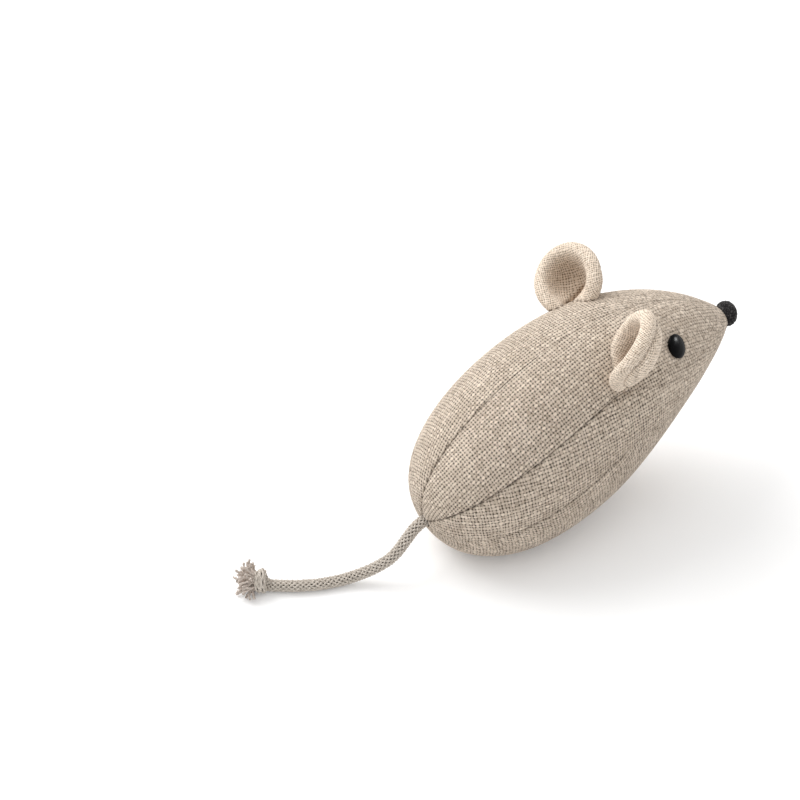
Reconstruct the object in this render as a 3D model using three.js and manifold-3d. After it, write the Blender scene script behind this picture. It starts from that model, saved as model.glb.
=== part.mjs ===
// A stuffed linen toy mouse: five sewn cloth panels round a wad of stuffing with a catnip pouch in its belly,
// two padded ears, two safety eyes, a felt nose and a braided tail. Millimetres, +X to the nose, +Z up.
import * as THREE from 'three';
import { mergeVertices } from 'three/addons/utils/BufferGeometryUtils.js';
import Module from 'manifold-3d';

const wasm = await Module();
wasm.setup();

const degree = Math.PI / 180;
const gap = 0.3;

// Cloth and seams
const clothThickness = 0.9;
const seamAllowance = 3;
const sideSeamAngle = 52.5 * degree;
const lowerSeamAngle = 90 * degree;
const seamSpread = 24 * degree;
const seamSpreadFrom = 61;
const seamSpreadTo = 85;

// Tail
const cordDiameter = 3.7;
const cordSides = 8;
const cordSteps = 26;
const anchorKnotDiameter = 7;
const endKnotDiameter = 7.6;
const endKnotLength = 4.6;
const endKnotRise = 1.9;
const tasselLength = 7;
const tasselDiameter = 10.5;
const tasselRootDiameter = 6.5;
const tasselTipDiameter = 7.5;
const tasselFullestAt = 4;
const tasselLocks = 9;
const tasselLockDepth = 1.6;

// Body, along its own axis from the tail hole to the snout
const bodyLength = 112;
const bodyHalfHeight = 27.7;
const bodyHalfWidth = 28.3;
const fullestAt = 41.7;
const rumpRise = 12;
const rumpReach = 27.6;
const neckReach = 41;
const snoutRadius = 3.3;
const snoutReach = 6;
const snoutSlope = 50 * degree;
const rumpSag = -2.2;
const neckRise = 18.3;
const bodyPitch = 13.75 * degree;
const tailHeight = 15.6;
const bellyDrop = 6;
const bellyDropAt = 54;
const bellyDropSpan = 16;
const tailHoleRadius = cordDiameter / 2 + gap;

// Ears: one pattern, each sewn on by hand, so that their poses differ a little
const sides = { left: 1, right: -1 };
const earPoses = {
  left: {
    seat: 74.3,
    around: 42 * degree,
    lift: 6.5,
    raise: 42 * degree,
    turn: 18 * degree,
    roll: 38 * degree,
  },
  right: {
    seat: 69.8,
    around: 35.4 * degree,
    lift: 9.2,
    raise: 26.6 * degree,
    turn: 30 * degree,
    roll: -23.7 * degree,
  },
};
const earHalfWidth = 10.9;
const earHalfHeight = 11.7;
const earCupDepth = 3.3;
const earRimRise = 1.9;
const earRimRadius = 2.3;
const earSeamAngle = -80 * degree;
const earFloorReach = 5.5;
const earWallReach = 3;
const earPadding = 2.9;
const earFoldAside = 1.5;
const earBaseFoldRadius = 6.7;
const earTipFoldRadius = 40;

// Eyes, each set by hand like the ears
const eyePoses = {
  left: { seat: 83.2, around: 58 * degree },
  right: { seat: 86.5, around: 52 * degree },
};
const eyeDiameter = 7.4;
const eyeHeight = 1.6;
const eyeSkirt = 0.4;
const stemDiameter = 2.4;
const stemLength = 7;
const stemRidges = 2;
const stemRidgeHeight = 0.25;
const stemRidgeLength = 1.2;
const washerDiameter = 7.5;
const washerThickness = 1;

// Nose
const noseDiameter = 7.9;
const noseThickness = 6;
const noseReach = 2.9;
const noseDroop = 12 * degree;
const shankDiameter = 2.2;
const shankLength = 7;

// Catnip pouch
const pouchLength = 28;
const pouchWidth = 22;
const pouchAlong = 32.5;
const pouchCloth = 0.6;
const pouchHem = 2.5;
const pouchTopRise = 6;
const pouchBottomSag = 2.4;
const leafClearance = 0.8;
const leafMargin = 2.6;

// Facets
const panelStations = 18;
const backSteps = 5;
const flankSteps = 4;
const bellySteps = 10;
const wadEndRadius = 6.5;
const earSegments = 20;
const earBowlSteps = 3;
const earRimSteps = 5;
const roundSegments = 16;
const quarterSteps = 5;
const tasselLayers = 5;
const pouchColumns = 8;
const pouchRows = 6;
const weldDistance = 1e-4;
const stationStep = 1e-3;

// Closed meshes and booleans

function geometryOf(points, triangles) {
  const geometry = new THREE.BufferGeometry();
  const positions = new Float32Array(points.flatMap((point) => [point.x, point.y, point.z]));
  geometry.setAttribute('position', new THREE.BufferAttribute(positions, 3));
  geometry.setIndex(triangles.flat());
  return geometry;
}

function signedVolume(points, triangles) {
  const normal = new THREE.Vector3();
  let volume = 0;
  for (const [a, b, c] of triangles) {
    normal.crossVectors(points[b], points[c]);
    volume += points[a].dot(normal) / 6;
  }
  return volume;
}

function closedGeometry(points, triangles) {
  const inward = signedVolume(points, triangles) < 0;
  const facing = inward ? triangles.map(([a, b, c]) => [a, c, b]) : triangles;
  return geometryOf(points, facing);
}

function solidOf(geometry) {
  const bare = new THREE.BufferGeometry();
  bare.setAttribute('position', geometry.getAttribute('position'));
  if (geometry.index) bare.setIndex(geometry.index);
  const merged = mergeVertices(bare, weldDistance);
  const position = merged.getAttribute('position');
  const index = merged.index.array;
  const triangles = [];
  for (let i = 0; i < index.length; i += 3) {
    const [a, b, c] = [index[i], index[i + 1], index[i + 2]];
    if (a !== b && b !== c && c !== a) triangles.push(a, b, c);
  }
  const vertProperties = Float32Array.from(position.array);
  const triVerts = Uint32Array.from(triangles);
  return new wasm.Manifold(new wasm.Mesh({ numProp: 3, vertProperties, triVerts }));
}

function geometryFrom(solid) {
  const { vertProperties, triVerts } = solid.getMesh();
  const geometry = new THREE.BufferGeometry();
  geometry.setAttribute('position', new THREE.BufferAttribute(Float32Array.from(vertProperties), 3));
  geometry.setIndex(Array.from(triVerts));
  return geometry;
}

function cut(geometry, ...tools) {
  const trimmed = tools.reduce((solid, tool) => solid.subtract(solidOf(tool)), solidOf(geometry));
  return geometryFrom(trimmed);
}

// A sheet with two faces, closed round its four edges: outer(i, j) and inner(i, j) give the corners.
function thickSheet(columns, rows, outer, inner) {
  const points = [];
  const triangles = [];
  const width = columns + 1;
  const layer = width * (rows + 1);
  for (const face of [outer, inner]) {
    for (let j = 0; j <= rows; j++) {
      for (let i = 0; i <= columns; i++) points.push(face(i, j));
    }
  }
  const quad = (a, b, c, d) => triangles.push([a, b, c], [a, c, d]);
  for (let j = 0; j < rows; j++) {
    for (let i = 0; i < columns; i++) {
      const at = j * width + i;
      quad(at, at + 1, at + width + 1, at + width);
      quad(layer + at, layer + at + width, layer + at + width + 1, layer + at + 1);
    }
  }
  for (let i = 0; i < columns; i++) {
    const last = rows * width + i;
    quad(i + 1, i, layer + i, layer + i + 1);
    quad(last, last + 1, layer + last + 1, layer + last);
  }
  for (let j = 0; j < rows; j++) {
    const left = j * width;
    const right = left + columns;
    quad(left, left + width, layer + left + width, layer + left);
    quad(right + width, right, layer + right, layer + right + width);
  }
  return closedGeometry(points, triangles);
}

// A skin over rings of equal counts, closed at both ends by fans about each end ring's centre.
function loft(rings) {
  const count = rings[0].length;
  const points = rings.flat();
  const triangles = [];
  for (let j = 0; j + 1 < rings.length; j++) {
    for (let i = 0; i < count; i++) {
      const a = j * count + i;
      const b = j * count + ((i + 1) % count);
      triangles.push([a, b, b + count], [a, b + count, a + count]);
    }
  }
  const centreOf = (ring) => ring.reduce((sum, p) => sum.add(p), new THREE.Vector3()).divideScalar(count);
  const firstCentre = points.push(centreOf(rings[0])) - 1;
  const lastCentre = points.push(centreOf(rings.at(-1))) - 1;
  const lastRing = (rings.length - 1) * count;
  for (let i = 0; i < count; i++) {
    const next = (i + 1) % count;
    triangles.push([firstCentre, next, i], [lastCentre, lastRing + i, lastRing + next]);
  }
  return closedGeometry(points, triangles);
}

function revolve(profile, segments) {
  const clockwise = THREE.ShapeUtils.area(profile) < 0;
  return new THREE.LatheGeometry(clockwise ? profile.toReversed() : profile, segments);
}

// Lathe geometry turns about Y, so a piece is set with its Y along the given direction.
function along(geometry, direction, origin) {
  const turn = new THREE.Quaternion().setFromUnitVectors(new THREE.Vector3(0, 1, 0), direction);
  return geometry.applyQuaternion(turn).translate(origin.x, origin.y, origin.z);
}

function arc(centreRadius, centreHeight, radius, height, from, to, steps) {
  const points = [];
  for (let i = 0; i <= steps; i++) {
    const angle = from + ((to - from) * i) / steps;
    const out = centreRadius + radius * Math.cos(angle);
    const up = centreHeight + height * Math.sin(angle);
    points.push(new THREE.Vector2(out, up));
  }
  return points;
}

function roundProfile(radius, height) {
  return arc(0, 0, radius, height, -Math.PI / 2, Math.PI / 2, 2 * quarterSteps);
}

// Body form: a profile of two curves turned about an axis that sags at the rump and rises at the neck

const rumpCurve = new THREE.CubicBezierCurve(
  new THREE.Vector2(0, tailHoleRadius),
  new THREE.Vector2(0, tailHoleRadius + rumpRise),
  new THREE.Vector2(fullestAt - rumpReach, bodyHalfHeight),
  new THREE.Vector2(fullestAt, bodyHalfHeight),
);
const snoutHandle = new THREE.Vector2(-Math.cos(snoutSlope), Math.sin(snoutSlope)).multiplyScalar(snoutReach);
const neckCurve = new THREE.CubicBezierCurve(
  new THREE.Vector2(fullestAt, bodyHalfHeight),
  new THREE.Vector2(fullestAt + neckReach, bodyHalfHeight),
  new THREE.Vector2(bodyLength, snoutRadius).add(snoutHandle),
  new THREE.Vector2(bodyLength, snoutRadius),
);
const bodyProfile = new THREE.CurvePath();
bodyProfile.add(rumpCurve);
bodyProfile.add(neckCurve);

function stationAt(distance) {
  let low = 0;
  let high = 1;
  while (high - low > stationStep ** 2) {
    const middle = (low + high) / 2;
    if (bodyProfile.getPoint(middle).x < distance) low = middle;
    else high = middle;
  }
  return low;
}

function axisRise(distance) {
  const t = distance / bodyLength;
  return 3 * t * (1 - t) * ((1 - t) * rumpSag + t * neckRise);
}

function onAxis(distance, height = 0, side = 0) {
  const rise = axisRise(distance) + height;
  return new THREE.Vector3(
    distance * Math.cos(bodyPitch) - rise * Math.sin(bodyPitch),
    side,
    tailHeight + distance * Math.sin(bodyPitch) + rise * Math.cos(bodyPitch),
  );
}

// A point on the body, inset from the outer face; the belly settles flat where the toy rests.
function skinPoint(station, around, inset) {
  const outer = bodyProfile.getPoint(station);
  const tangent = bodyProfile.getTangent(station);
  const distance = outer.x + inset * tangent.y;
  const radius = outer.y - inset * tangent.x;
  const lower = Math.min(Math.cos(around), 0);
  const bulge = Math.exp(-(((distance - bellyDropAt) / bellyDropSpan) ** 2));
  const height = radius * Math.cos(around) - bellyDrop * bulge * lower ** 4;
  const side = radius * (bodyHalfWidth / bodyHalfHeight) * Math.sin(around);
  const point = onAxis(distance, height, side);
  point.z = Math.max(point.z, inset);
  return point;
}

function skinFrame(distance, around) {
  const station = stationAt(distance);
  const side = Math.sign(around);
  const point = skinPoint(station, around, 0);
  const forward = skinPoint(station + stationStep, around, 0).sub(point).normalize();
  const inner = skinPoint(station, around * (1 - stationStep), 0).sub(point);
  const outward = new THREE.Vector3().crossVectors(inner, forward).multiplyScalar(side).normalize();
  const upward = new THREE.Vector3().crossVectors(forward, outward).multiplyScalar(side);
  return { point, forward, outward, upward };
}

function bodySolid(inset) {
  const rings = [];
  const around = 4 * bellySteps;
  for (let j = 0; j <= 2 * panelStations; j++) {
    const ring = [];
    for (let i = 0; i < around; i++) {
      ring.push(skinPoint(j / (2 * panelStations), (2 * Math.PI * i) / around, inset));
    }
    rings.push(ring);
  }
  return loft(rings);
}

// Seams: the side and lower seams spread apart on the head, past the ears

function seamShift(distance) {
  return seamSpread * THREE.MathUtils.smoothstep(distance, seamSpreadFrom, seamSpreadTo);
}
const topSeam = () => 0;
const sideSeam = (distance) => sideSeamAngle + seamShift(distance);
const lowerSeam = (distance) => lowerSeamAngle + seamShift(distance);

function seamDepth(radius) {
  return clothThickness + Math.min(seamAllowance, radius / 2);
}

function edgeAngles(station, from, to) {
  const { x: distance, y: radius } = bodyProfile.getPoint(station);
  const start = from(distance);
  const end = to(distance);
  const half = gap / 2 / radius;
  const turned = Math.min(clothThickness / radius, (end - start) / 4);
  return { start: start + half, end: end - half, turned, clear: gap / radius, radius };
}

// A cloth panel between two seams, with its edges turned in as seam allowance.
function bodyPanel(from, to, steps) {
  const corner = (index, station, inside) => {
    const { start, end, turned, radius } = edgeAngles(station, from, to);
    const shift = inside ? turned : 0;
    const share = THREE.MathUtils.clamp((index - 1) / steps, 0, 1);
    const angle = THREE.MathUtils.lerp(start + shift, end - shift, share);
    const onFlange = index === 0 || index === steps + 2;
    const inset = onFlange ? seamDepth(radius) : inside ? clothThickness : 0;
    return skinPoint(station, angle, inset);
  };
  const face = (inside) => (i, j) => corner(i, j / panelStations, inside);
  return thickSheet(steps + 2, panelStations, face(false), face(true));
}

const mirrored = (seam) => (distance) => -seam(distance);
const pastBelly = (seam) => (distance) => 2 * Math.PI - seam(distance);

const panels = {
  back_panel_left: { from: topSeam, to: sideSeam, steps: backSteps },
  flank_panel_left: { from: sideSeam, to: lowerSeam, steps: flankSteps },
  belly_panel: { from: lowerSeam, to: pastBelly(lowerSeam), steps: bellySteps },
  flank_panel_right: { from: mirrored(lowerSeam), to: mirrored(sideSeam), steps: flankSteps },
  back_panel_right: { from: mirrored(sideSeam), to: topSeam, steps: backSteps },
};

// The wad of stuffing fills the panels, with a groove for each pair of turned-in edges.
function stuffingWad() {
  const ringAt = (station, sunk) => {
    const ring = [];
    for (const { from, to, steps } of Object.values(panels)) {
      const { start, end, turned, clear, radius } = edgeAngles(station, from, to);
      const wall = turned + clear;
      const lip = wall + clear / 2;
      const groove = seamDepth(radius) + (sunk ? 2 * gap : gap);
      const inset = sunk ? groove : clothThickness + gap;
      ring.push(skinPoint(station, start + wall, groove));
      for (let i = 0; i <= steps; i++) {
        ring.push(skinPoint(station, THREE.MathUtils.lerp(start + lip, end - lip, i / steps), inset));
      }
      ring.push(skinPoint(station, end - wall, groove));
    }
    return ring;
  };
  const stations = [];
  for (let j = 0; j <= panelStations; j++) {
    const station = j / panelStations;
    if (bodyProfile.getPoint(station).y >= wadEndRadius) stations.push(station);
  }
  const rings = stations.map((station) => ringAt(station, false));
  return loft([ringAt(stations[0], true), ...rings, ringAt(stations.at(-1), true)]);
}

// Ears: a padded dish of two cloths, folded about its rising line, set on the head and cut to its curve

function offsetCurve(points, distance, endInward) {
  return points.map((point, i) => {
    if (i === points.length - 1) return point.clone().addScaledVector(endInward, Math.abs(distance));
    const before = points[Math.max(i - 1, 0)];
    const tangent = points[i + 1].clone().sub(before).normalize();
    const moved = new THREE.Vector2(point.x + tangent.y * distance, point.y - tangent.x * distance);
    if (i === 0) moved.x = 0;
    return moved;
  });
}

// The dish's lining rolls over the rim to a seam behind it, where the back cloth begins.
const earCrest = earHalfWidth - earRimRadius;
const earRimMiddle = earRimRise - earRimRadius;
const earSeamClear = gap / 2 / earRimRadius;
const earBowl = new THREE.CubicBezierCurve(
  new THREE.Vector2(0, -earCupDepth),
  new THREE.Vector2(earFloorReach, -earCupDepth),
  new THREE.Vector2(earCrest - earWallReach, earRimRise),
  new THREE.Vector2(earCrest, earRimRise),
);

function earRim(from, to, steps) {
  return arc(earCrest, earRimMiddle, earRimRadius, earRimRadius, from, to, steps);
}

const earRoll = earRim(Math.PI / 2, earSeamAngle + earSeamClear, earRimSteps);
const earFront = {
  points: [...earBowl.getPoints(earBowlSteps).slice(0, -1), ...earRoll],
  inward: 1,
  endInward: new THREE.Vector2(-Math.cos(earSeamAngle), -Math.sin(earSeamAngle)),
};
const earBackEnd = earRim(earSeamAngle - earSeamClear, earSeamAngle, 1)[0];
const earBackDepth = earCupDepth + earPadding;
const earBack = {
  points: arc(0, earBackEnd.y, earBackEnd.x, earBackDepth + earBackEnd.y, -Math.PI / 2, 0, quarterSteps),
  inward: -1,
  endInward: new THREE.Vector2(-1, 0),
};

function earInside({ points, inward, endInward }, depth) {
  return offsetCurve(points, inward * depth, endInward);
}

function earShell(face) {
  return [...face.points, ...earInside(face, clothThickness).reverse()];
}

function earWad() {
  const reach = clothThickness + gap;
  const front = earInside(earFront, reach);
  const back = earInside(earBack, reach);
  front.pop();
  back.pop();
  return [...front, ...back.reverse()];
}

// The fold is tight at the ear's base and slight at its tip.
function foldEar(dish, side) {
  const places = dish.getAttribute('position');
  const aside = -side * earFoldAside;
  for (let i = 0; i < places.count; i++) {
    const share = THREE.MathUtils.clamp((places.getZ(i) / earHalfHeight + 1) / 2, 0, 1);
    const radius = 1 / THREE.MathUtils.lerp(1 / earTipFoldRadius, 1 / earBaseFoldRadius, (1 - share) ** 2);
    const arm = radius - places.getY(i);
    const angle = (places.getX(i) - aside) / radius;
    places.setXY(i, aside + arm * Math.sin(angle), radius - arm * Math.cos(angle));
  }
  return dish;
}

function earFrame(side, { seat, around, lift, raise, turn, roll }) {
  const { point, outward } = skinFrame(seat, side * around);
  const facing = new THREE.Vector3(-Math.cos(turn), -side * Math.sin(turn), Math.tan(raise)).normalize();
  const rising = new THREE.Vector3(0, 0, 1).addScaledVector(facing, -facing.z).normalize();
  rising.applyAxisAngle(facing, side * roll);
  const across = new THREE.Vector3().crossVectors(facing, rising);
  const centre = point.addScaledVector(outward, lift);
  return new THREE.Matrix4().makeBasis(across, facing, rising).setPosition(centre);
}

const headForm = bodySolid(-gap);

function earPiece(profile, name) {
  const dish = revolve(profile, earSegments).scale(1, 1, earHalfHeight / earHalfWidth);
  const frame = earFrame(sides[name], earPoses[name]);
  return cut(foldEar(dish, sides[name]).applyMatrix4(frame), headForm);
}

// Eyes: a domed button on a ridged stem, with a washer pressed on from inside

function eyeProfile() {
  const dome = arc(0, eyeSkirt, eyeDiameter / 2, eyeHeight - eyeSkirt, Math.PI / 2, 0, quarterSteps);
  const stemRadius = stemDiameter / 2;
  const stem = [new THREE.Vector2(eyeDiameter / 2, 0), new THREE.Vector2(stemRadius, 0)];
  const pitch = stemLength / (stemRidges + 1);
  for (let i = 1; i <= stemRidges; i++) {
    const ridge = -i * pitch;
    stem.push(new THREE.Vector2(stemRadius, ridge));
    stem.push(new THREE.Vector2(stemRadius + stemRidgeHeight, ridge - stemRidgeLength / 2));
    stem.push(new THREE.Vector2(stemRadius, ridge - stemRidgeLength));
  }
  return [...dome, ...stem, new THREE.Vector2(stemRadius, -stemLength), new THREE.Vector2(0, -stemLength)];
}

function disc(radius, low, high) {
  return [
    new THREE.Vector2(0, low),
    new THREE.Vector2(radius, low),
    new THREE.Vector2(radius, high),
    new THREE.Vector2(0, high),
  ];
}

// The cloth curves away from the flat washer, so the washer lies that much deeper.
const eyeBodyRadius = bodyProfile.getPoint(stationAt(eyePoses.right.seat)).y;
const washerTop = -clothThickness - gap - (washerDiameter / 2) ** 2 / (2 * (eyeBodyRadius - clothThickness));
const washerLow = washerTop - washerThickness;

function washerProfile() {
  const hole = stemDiameter / 2 + stemRidgeHeight + gap;
  const rim = washerDiameter / 2;
  return [
    new THREE.Vector2(hole, washerLow),
    new THREE.Vector2(rim, washerLow),
    new THREE.Vector2(rim, washerTop),
    new THREE.Vector2(hole, washerTop),
    new THREE.Vector2(hole, washerLow),
  ];
}

function eyePiece(profile, name, lift) {
  const { seat, around } = eyePoses[name];
  const { point, outward } = skinFrame(seat, sides[name] * around);
  return along(revolve(profile, roundSegments), outward, point.addScaledVector(outward, lift));
}

const stemHole = disc(stemDiameter / 2 + stemRidgeHeight + gap, -stemLength - gap, eyeHeight);
const washerPocket = disc(washerDiameter / 2 + gap, washerLow - gap, eyeHeight);

// Nose: a felt ball seated on the snout, with a thread shank through the snout's opening

const bodyAxis = new THREE.Vector3(Math.cos(bodyPitch), 0, Math.sin(bodyPitch));
const snoutEnd = onAxis(bodyLength);

function noseBall() {
  const ball = roundProfile(noseDiameter / 2, noseThickness / 2);
  const ahead = new THREE.Vector3(Math.cos(noseDroop), 0, -Math.sin(noseDroop));
  const centre = snoutEnd.clone().addScaledVector(ahead, noseReach);
  const shank = disc(shankDiameter / 2, -shankLength, noseReach);
  const seated = solidOf(along(revolve(ball, roundSegments), ahead, centre)).subtract(solidOf(headForm));
  return geometryFrom(seated.add(solidOf(along(revolve(shank, roundSegments / 2), bodyAxis, snoutEnd))));
}

function shankBore() {
  const bore = disc(shankDiameter / 2 + gap, -shankLength - gap, noseReach);
  return along(revolve(bore, roundSegments / 2), bodyAxis, snoutEnd);
}

// Tail: a braided cord held by a knot inside the rump, lying on the floor, with a knot and frayed yarn

const anchorAt = seamDepth(tailHoleRadius) + 2 * gap + anchorKnotDiameter / 2;
const anchorCentre = onAxis(anchorAt);
const cordInside = onAxis(anchorAt - anchorKnotDiameter / 2 - gap);
const tailExit = onAxis(0);

// Steps of the route from the tail hole: backwards, to the toy's left and up
const tailRoute = [
  [-2.2, 0, -0.5],
  [-5.1, -0.6, -1.8],
  [-8, -1.2, -3.6],
  [-10.6, -1.5, -5.5],
  [-13.1, -1.3, -7.3],
  [-15.7, -0.3, -9.1],
  [-18.4, 1, -10.8],
  [-21.4, 2.4, -12.1],
  [-24.6, 3.7, -13],
  [-27.8, 5, -13.5],
  [-31, 6.2, -13.6],
  [-34.1, 7.5, -13.6],
  [-36.9, 9.1, -13.6],
  [-39.6, 10.7, -13.6],
  [-41.8, 12.3, -13.6],
  [-43.7, 13.7, -13.6],
  [-45.4, 15, -13.6],
];

const cordPoints = [
  cordInside,
  tailExit,
  ...tailRoute.map(([back, left, up]) => new THREE.Vector3(back, left, up).add(tailExit)),
];
const cordCurve = new THREE.CatmullRomCurve3(cordPoints, false, 'centripetal');
const cordEnd = cordCurve.getPoint(1);
const endAim = cordCurve.getTangent(1);

function cordTube() {
  const section = new THREE.Shape();
  section.absarc(0, 0, cordDiameter / 2, 0, 2 * Math.PI);
  return new THREE.ExtrudeGeometry(section, {
    steps: cordSteps,
    curveSegments: cordSides / 2,
    extrudePath: cordCurve,
  });
}

const knotStart = cordEnd.clone().addScaledVector(endAim, gap).setZ(cordEnd.z + endKnotRise);
const tasselStart = knotStart.clone().addScaledVector(endAim, endKnotLength + gap);

function endKnot() {
  const face = cordDiameter / 2;
  const [across, half] = [endKnotDiameter / 2 - face, endKnotLength / 2];
  const barrel = [
    new THREE.Vector2(0, 0),
    ...arc(face, half, across, half, -Math.PI / 2, Math.PI / 2, 2 * quarterSteps),
    new THREE.Vector2(0, endKnotLength),
  ];
  return along(revolve(barrel, roundSegments), endAim, knotStart);
}

function anchorBall(radius) {
  return along(revolve(roundProfile(radius, radius), roundSegments), bodyAxis, anchorCentre);
}

function cordBore() {
  return along(revolve(disc(tailHoleRadius, 0, anchorAt), roundSegments), bodyAxis, tailExit);
}

// Frayed yarn: locks fan out from the knot, drawn in between.
function tassel() {
  const across = new THREE.Vector3().crossVectors(new THREE.Vector3(0, 0, 1), endAim);
  const upright = new THREE.Vector3(0, 0, 1);
  const profile = new THREE.SplineCurve([
    new THREE.Vector2(tasselRootDiameter / 2, 0),
    new THREE.Vector2(tasselDiameter / 2, tasselFullestAt),
    new THREE.Vector2(tasselTipDiameter / 2, tasselLength),
  ]);
  const facets = 4 * tasselLocks;
  const rings = [];
  for (let j = 0; j <= tasselLayers; j++) {
    const share = j / tasselLayers;
    const { x: radius, y: reach } = profile.getPoint(share);
    const ring = [];
    for (let i = 0; i < facets; i++) {
      const angle = (2 * Math.PI * i) / facets;
      const lock = radius - (tasselLockDepth / 2) * share * (1 + Math.cos(tasselLocks * angle));
      const point = tasselStart.clone().addScaledVector(endAim, reach);
      point.addScaledVector(across, lock * Math.cos(angle)).addScaledVector(upright, lock * Math.sin(angle));
      point.z = Math.max(point.z, 0);
      ring.push(point);
    }
    rings.push(ring);
  }
  return loft(rings);
}

// Catnip pouch: two small cloths hemmed together round the dried leaf, lying on the belly cloth

const pouchCentre = onAxis(pouchAlong);

const pouchInside = [pouchLength / 2 - pouchHem, pouchWidth / 2 - pouchHem];

// How far the pouch swells: not at its hem, fully at its middle
function pouchSwell(x, y) {
  return Math.max(1 - (x / pouchInside[0]) ** 2, 0) * Math.max(1 - (y / pouchInside[1]) ** 2, 0);
}

// The hem's height above which the swelling pouch clears the belly cloth
function pouchSeat() {
  let highest = 0;
  for (let j = 0; j <= 2 * panelStations; j++) {
    for (let i = 0; i <= bellySteps; i++) {
      const around = Math.PI * (1 - i / (2 * bellySteps));
      const spot = skinPoint(j / (2 * panelStations), around, clothThickness);
      const ahead = spot.x - pouchCentre.x;
      const under = Math.abs(ahead) < pouchLength / 2 && spot.y < pouchWidth / 2;
      if (under) highest = Math.max(highest, spot.z + pouchBottomSag * pouchSwell(ahead, spot.y));
    }
  }
  return highest;
}

const pouchRim = pouchSeat() + gap + pouchCloth + gap / 2;

// The height of a pouch face over its grid: flat at the hem, swelling inside it.
function pouchFace(height, offset, hem = pouchHem, margin = 0) {
  const place = (index, steps, half) => {
    const inner = Math.min(Math.max(index, 1), steps - 1);
    const edge = hem * (index - inner);
    return (half - margin) * ((2 * (inner - 1)) / (steps - 2) - 1) + edge;
  };
  return (i, j) => {
    const x = place(i, pouchColumns, pouchInside[0]);
    const y = place(j, pouchRows, pouchInside[1]);
    return new THREE.Vector3(pouchCentre.x + x, y, pouchRim + height * pouchSwell(x, y) + offset);
  };
}

function pouchSheet(outer, inner) {
  return thickSheet(pouchColumns, pouchRows, outer, inner);
}

function pouchPocket() {
  const top = pouchFace(pouchTopRise, gap / 2 + pouchCloth + gap, pouchHem + gap);
  const floor = (i, j) => top(i, j).setZ(-pouchRim);
  return pouchSheet(top, floor);
}

// Dried leaf fills the pouch inside its hem.
function catnip() {
  const clear = leafClearance - gap / 2;
  const inside = (face) => (i, j) => face(i + 1, j + 1);
  const top = inside(pouchFace(pouchTopRise, -clear, 0, leafMargin));
  const low = inside(pouchFace(-pouchBottomSag, clear, 0, leafMargin));
  return thickSheet(pouchColumns - 2, pouchRows - 2, top, low);
}

// Assembly

const finishes = {
  linen: { color: 0xc9b8a0, roughness: 0.95 },
  earLinen: { color: 0xcdb396, roughness: 0.95 },
  fibre: { color: 0xf1ede4, roughness: 1 },
  muslin: { color: 0xe9e1d0, roughness: 0.95 },
  leaf: { color: 0x6f7a45, roughness: 1 },
  bead: { color: 0x0d0d0f, roughness: 0.12 },
  washer: { color: 0xe8e8e4, roughness: 0.5 },
  felt: { color: 0x2c2c2e, roughness: 1 },
  cord: { color: 0xb5aa99, roughness: 0.95 },
};

const body = new THREE.Group();
const tail = new THREE.Group();

function piece(group, name, geometry, finish) {
  const material = new THREE.MeshStandardMaterial({ ...finishes[finish], metalness: 0 });
  const mesh = new THREE.Mesh(geometry, material);
  mesh.name = name;
  group.add(mesh);
}

const eyeHoles = Object.keys(sides).map((name) => eyePiece(stemHole, name, 0));
const washerPockets = Object.keys(sides).map((name) => eyePiece(washerPocket, name, 0));

for (const [name, { from, to, steps }] of Object.entries(panels)) {
  const panel = bodyPanel(from, to, steps);
  const holed = name.startsWith('back_panel') ? cut(panel, ...eyeHoles) : panel;
  piece(body, name, holed, 'linen');
}

const stuffingCuts = [
  ...eyeHoles,
  ...washerPockets,
  shankBore(),
  anchorBall(anchorKnotDiameter / 2 + gap),
  cordBore(),
  pouchPocket(),
];
piece(body, 'stuffing', cut(stuffingWad(), ...stuffingCuts), 'fibre');

for (const name of Object.keys(sides)) {
  piece(body, `ear_lining_${name}`, earPiece(earShell(earFront), name), 'earLinen');
  piece(body, `ear_wadding_${name}`, earPiece(earWad(), name), 'fibre');
  piece(body, `ear_back_${name}`, earPiece(earShell(earBack), name), 'earLinen');
  piece(body, `eye_${name}`, eyePiece(eyeProfile(), name, gap), 'bead');
  piece(body, `eye_washer_${name}`, eyePiece(washerProfile(), name, 0), 'washer');
}

piece(body, 'nose', noseBall(), 'felt');
piece(body, 'tail_anchor_knot', anchorBall(anchorKnotDiameter / 2), 'cord');

const hemSplit = gap / 2;
const pouchUpper = pouchSheet(
  pouchFace(pouchTopRise, hemSplit + pouchCloth),
  pouchFace(pouchTopRise, hemSplit),
);
const pouchLower = pouchSheet(
  pouchFace(-pouchBottomSag, -hemSplit),
  pouchFace(-pouchBottomSag, -hemSplit - pouchCloth),
);
piece(body, 'pouch_upper', pouchUpper, 'muslin');
piece(body, 'pouch_lower', pouchLower, 'muslin');
piece(body, 'catnip_filling', catnip(), 'leaf');

piece(tail, 'tail_cord', cordTube(), 'cord');
piece(tail, 'tail_end_knot', endKnot(), 'cord');
piece(tail, 'tail_tassel', tassel(), 'cord');

// The origin lies on the floor under the middle of the toy, its tail left out.
const box = new THREE.Box3().setFromObject(body);
const mouse = new THREE.Group();
mouse.name = 'catnip_mouse';
mouse.add(body, tail);
mouse.position.x = -(box.min.x + box.max.x) / 2;
mouse.position.y = -(box.min.y + box.max.y) / 2;

export default mouse;
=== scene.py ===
import math

import bmesh
import bpy
import numpy as np
from mathutils import Matrix, Vector, noise


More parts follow.
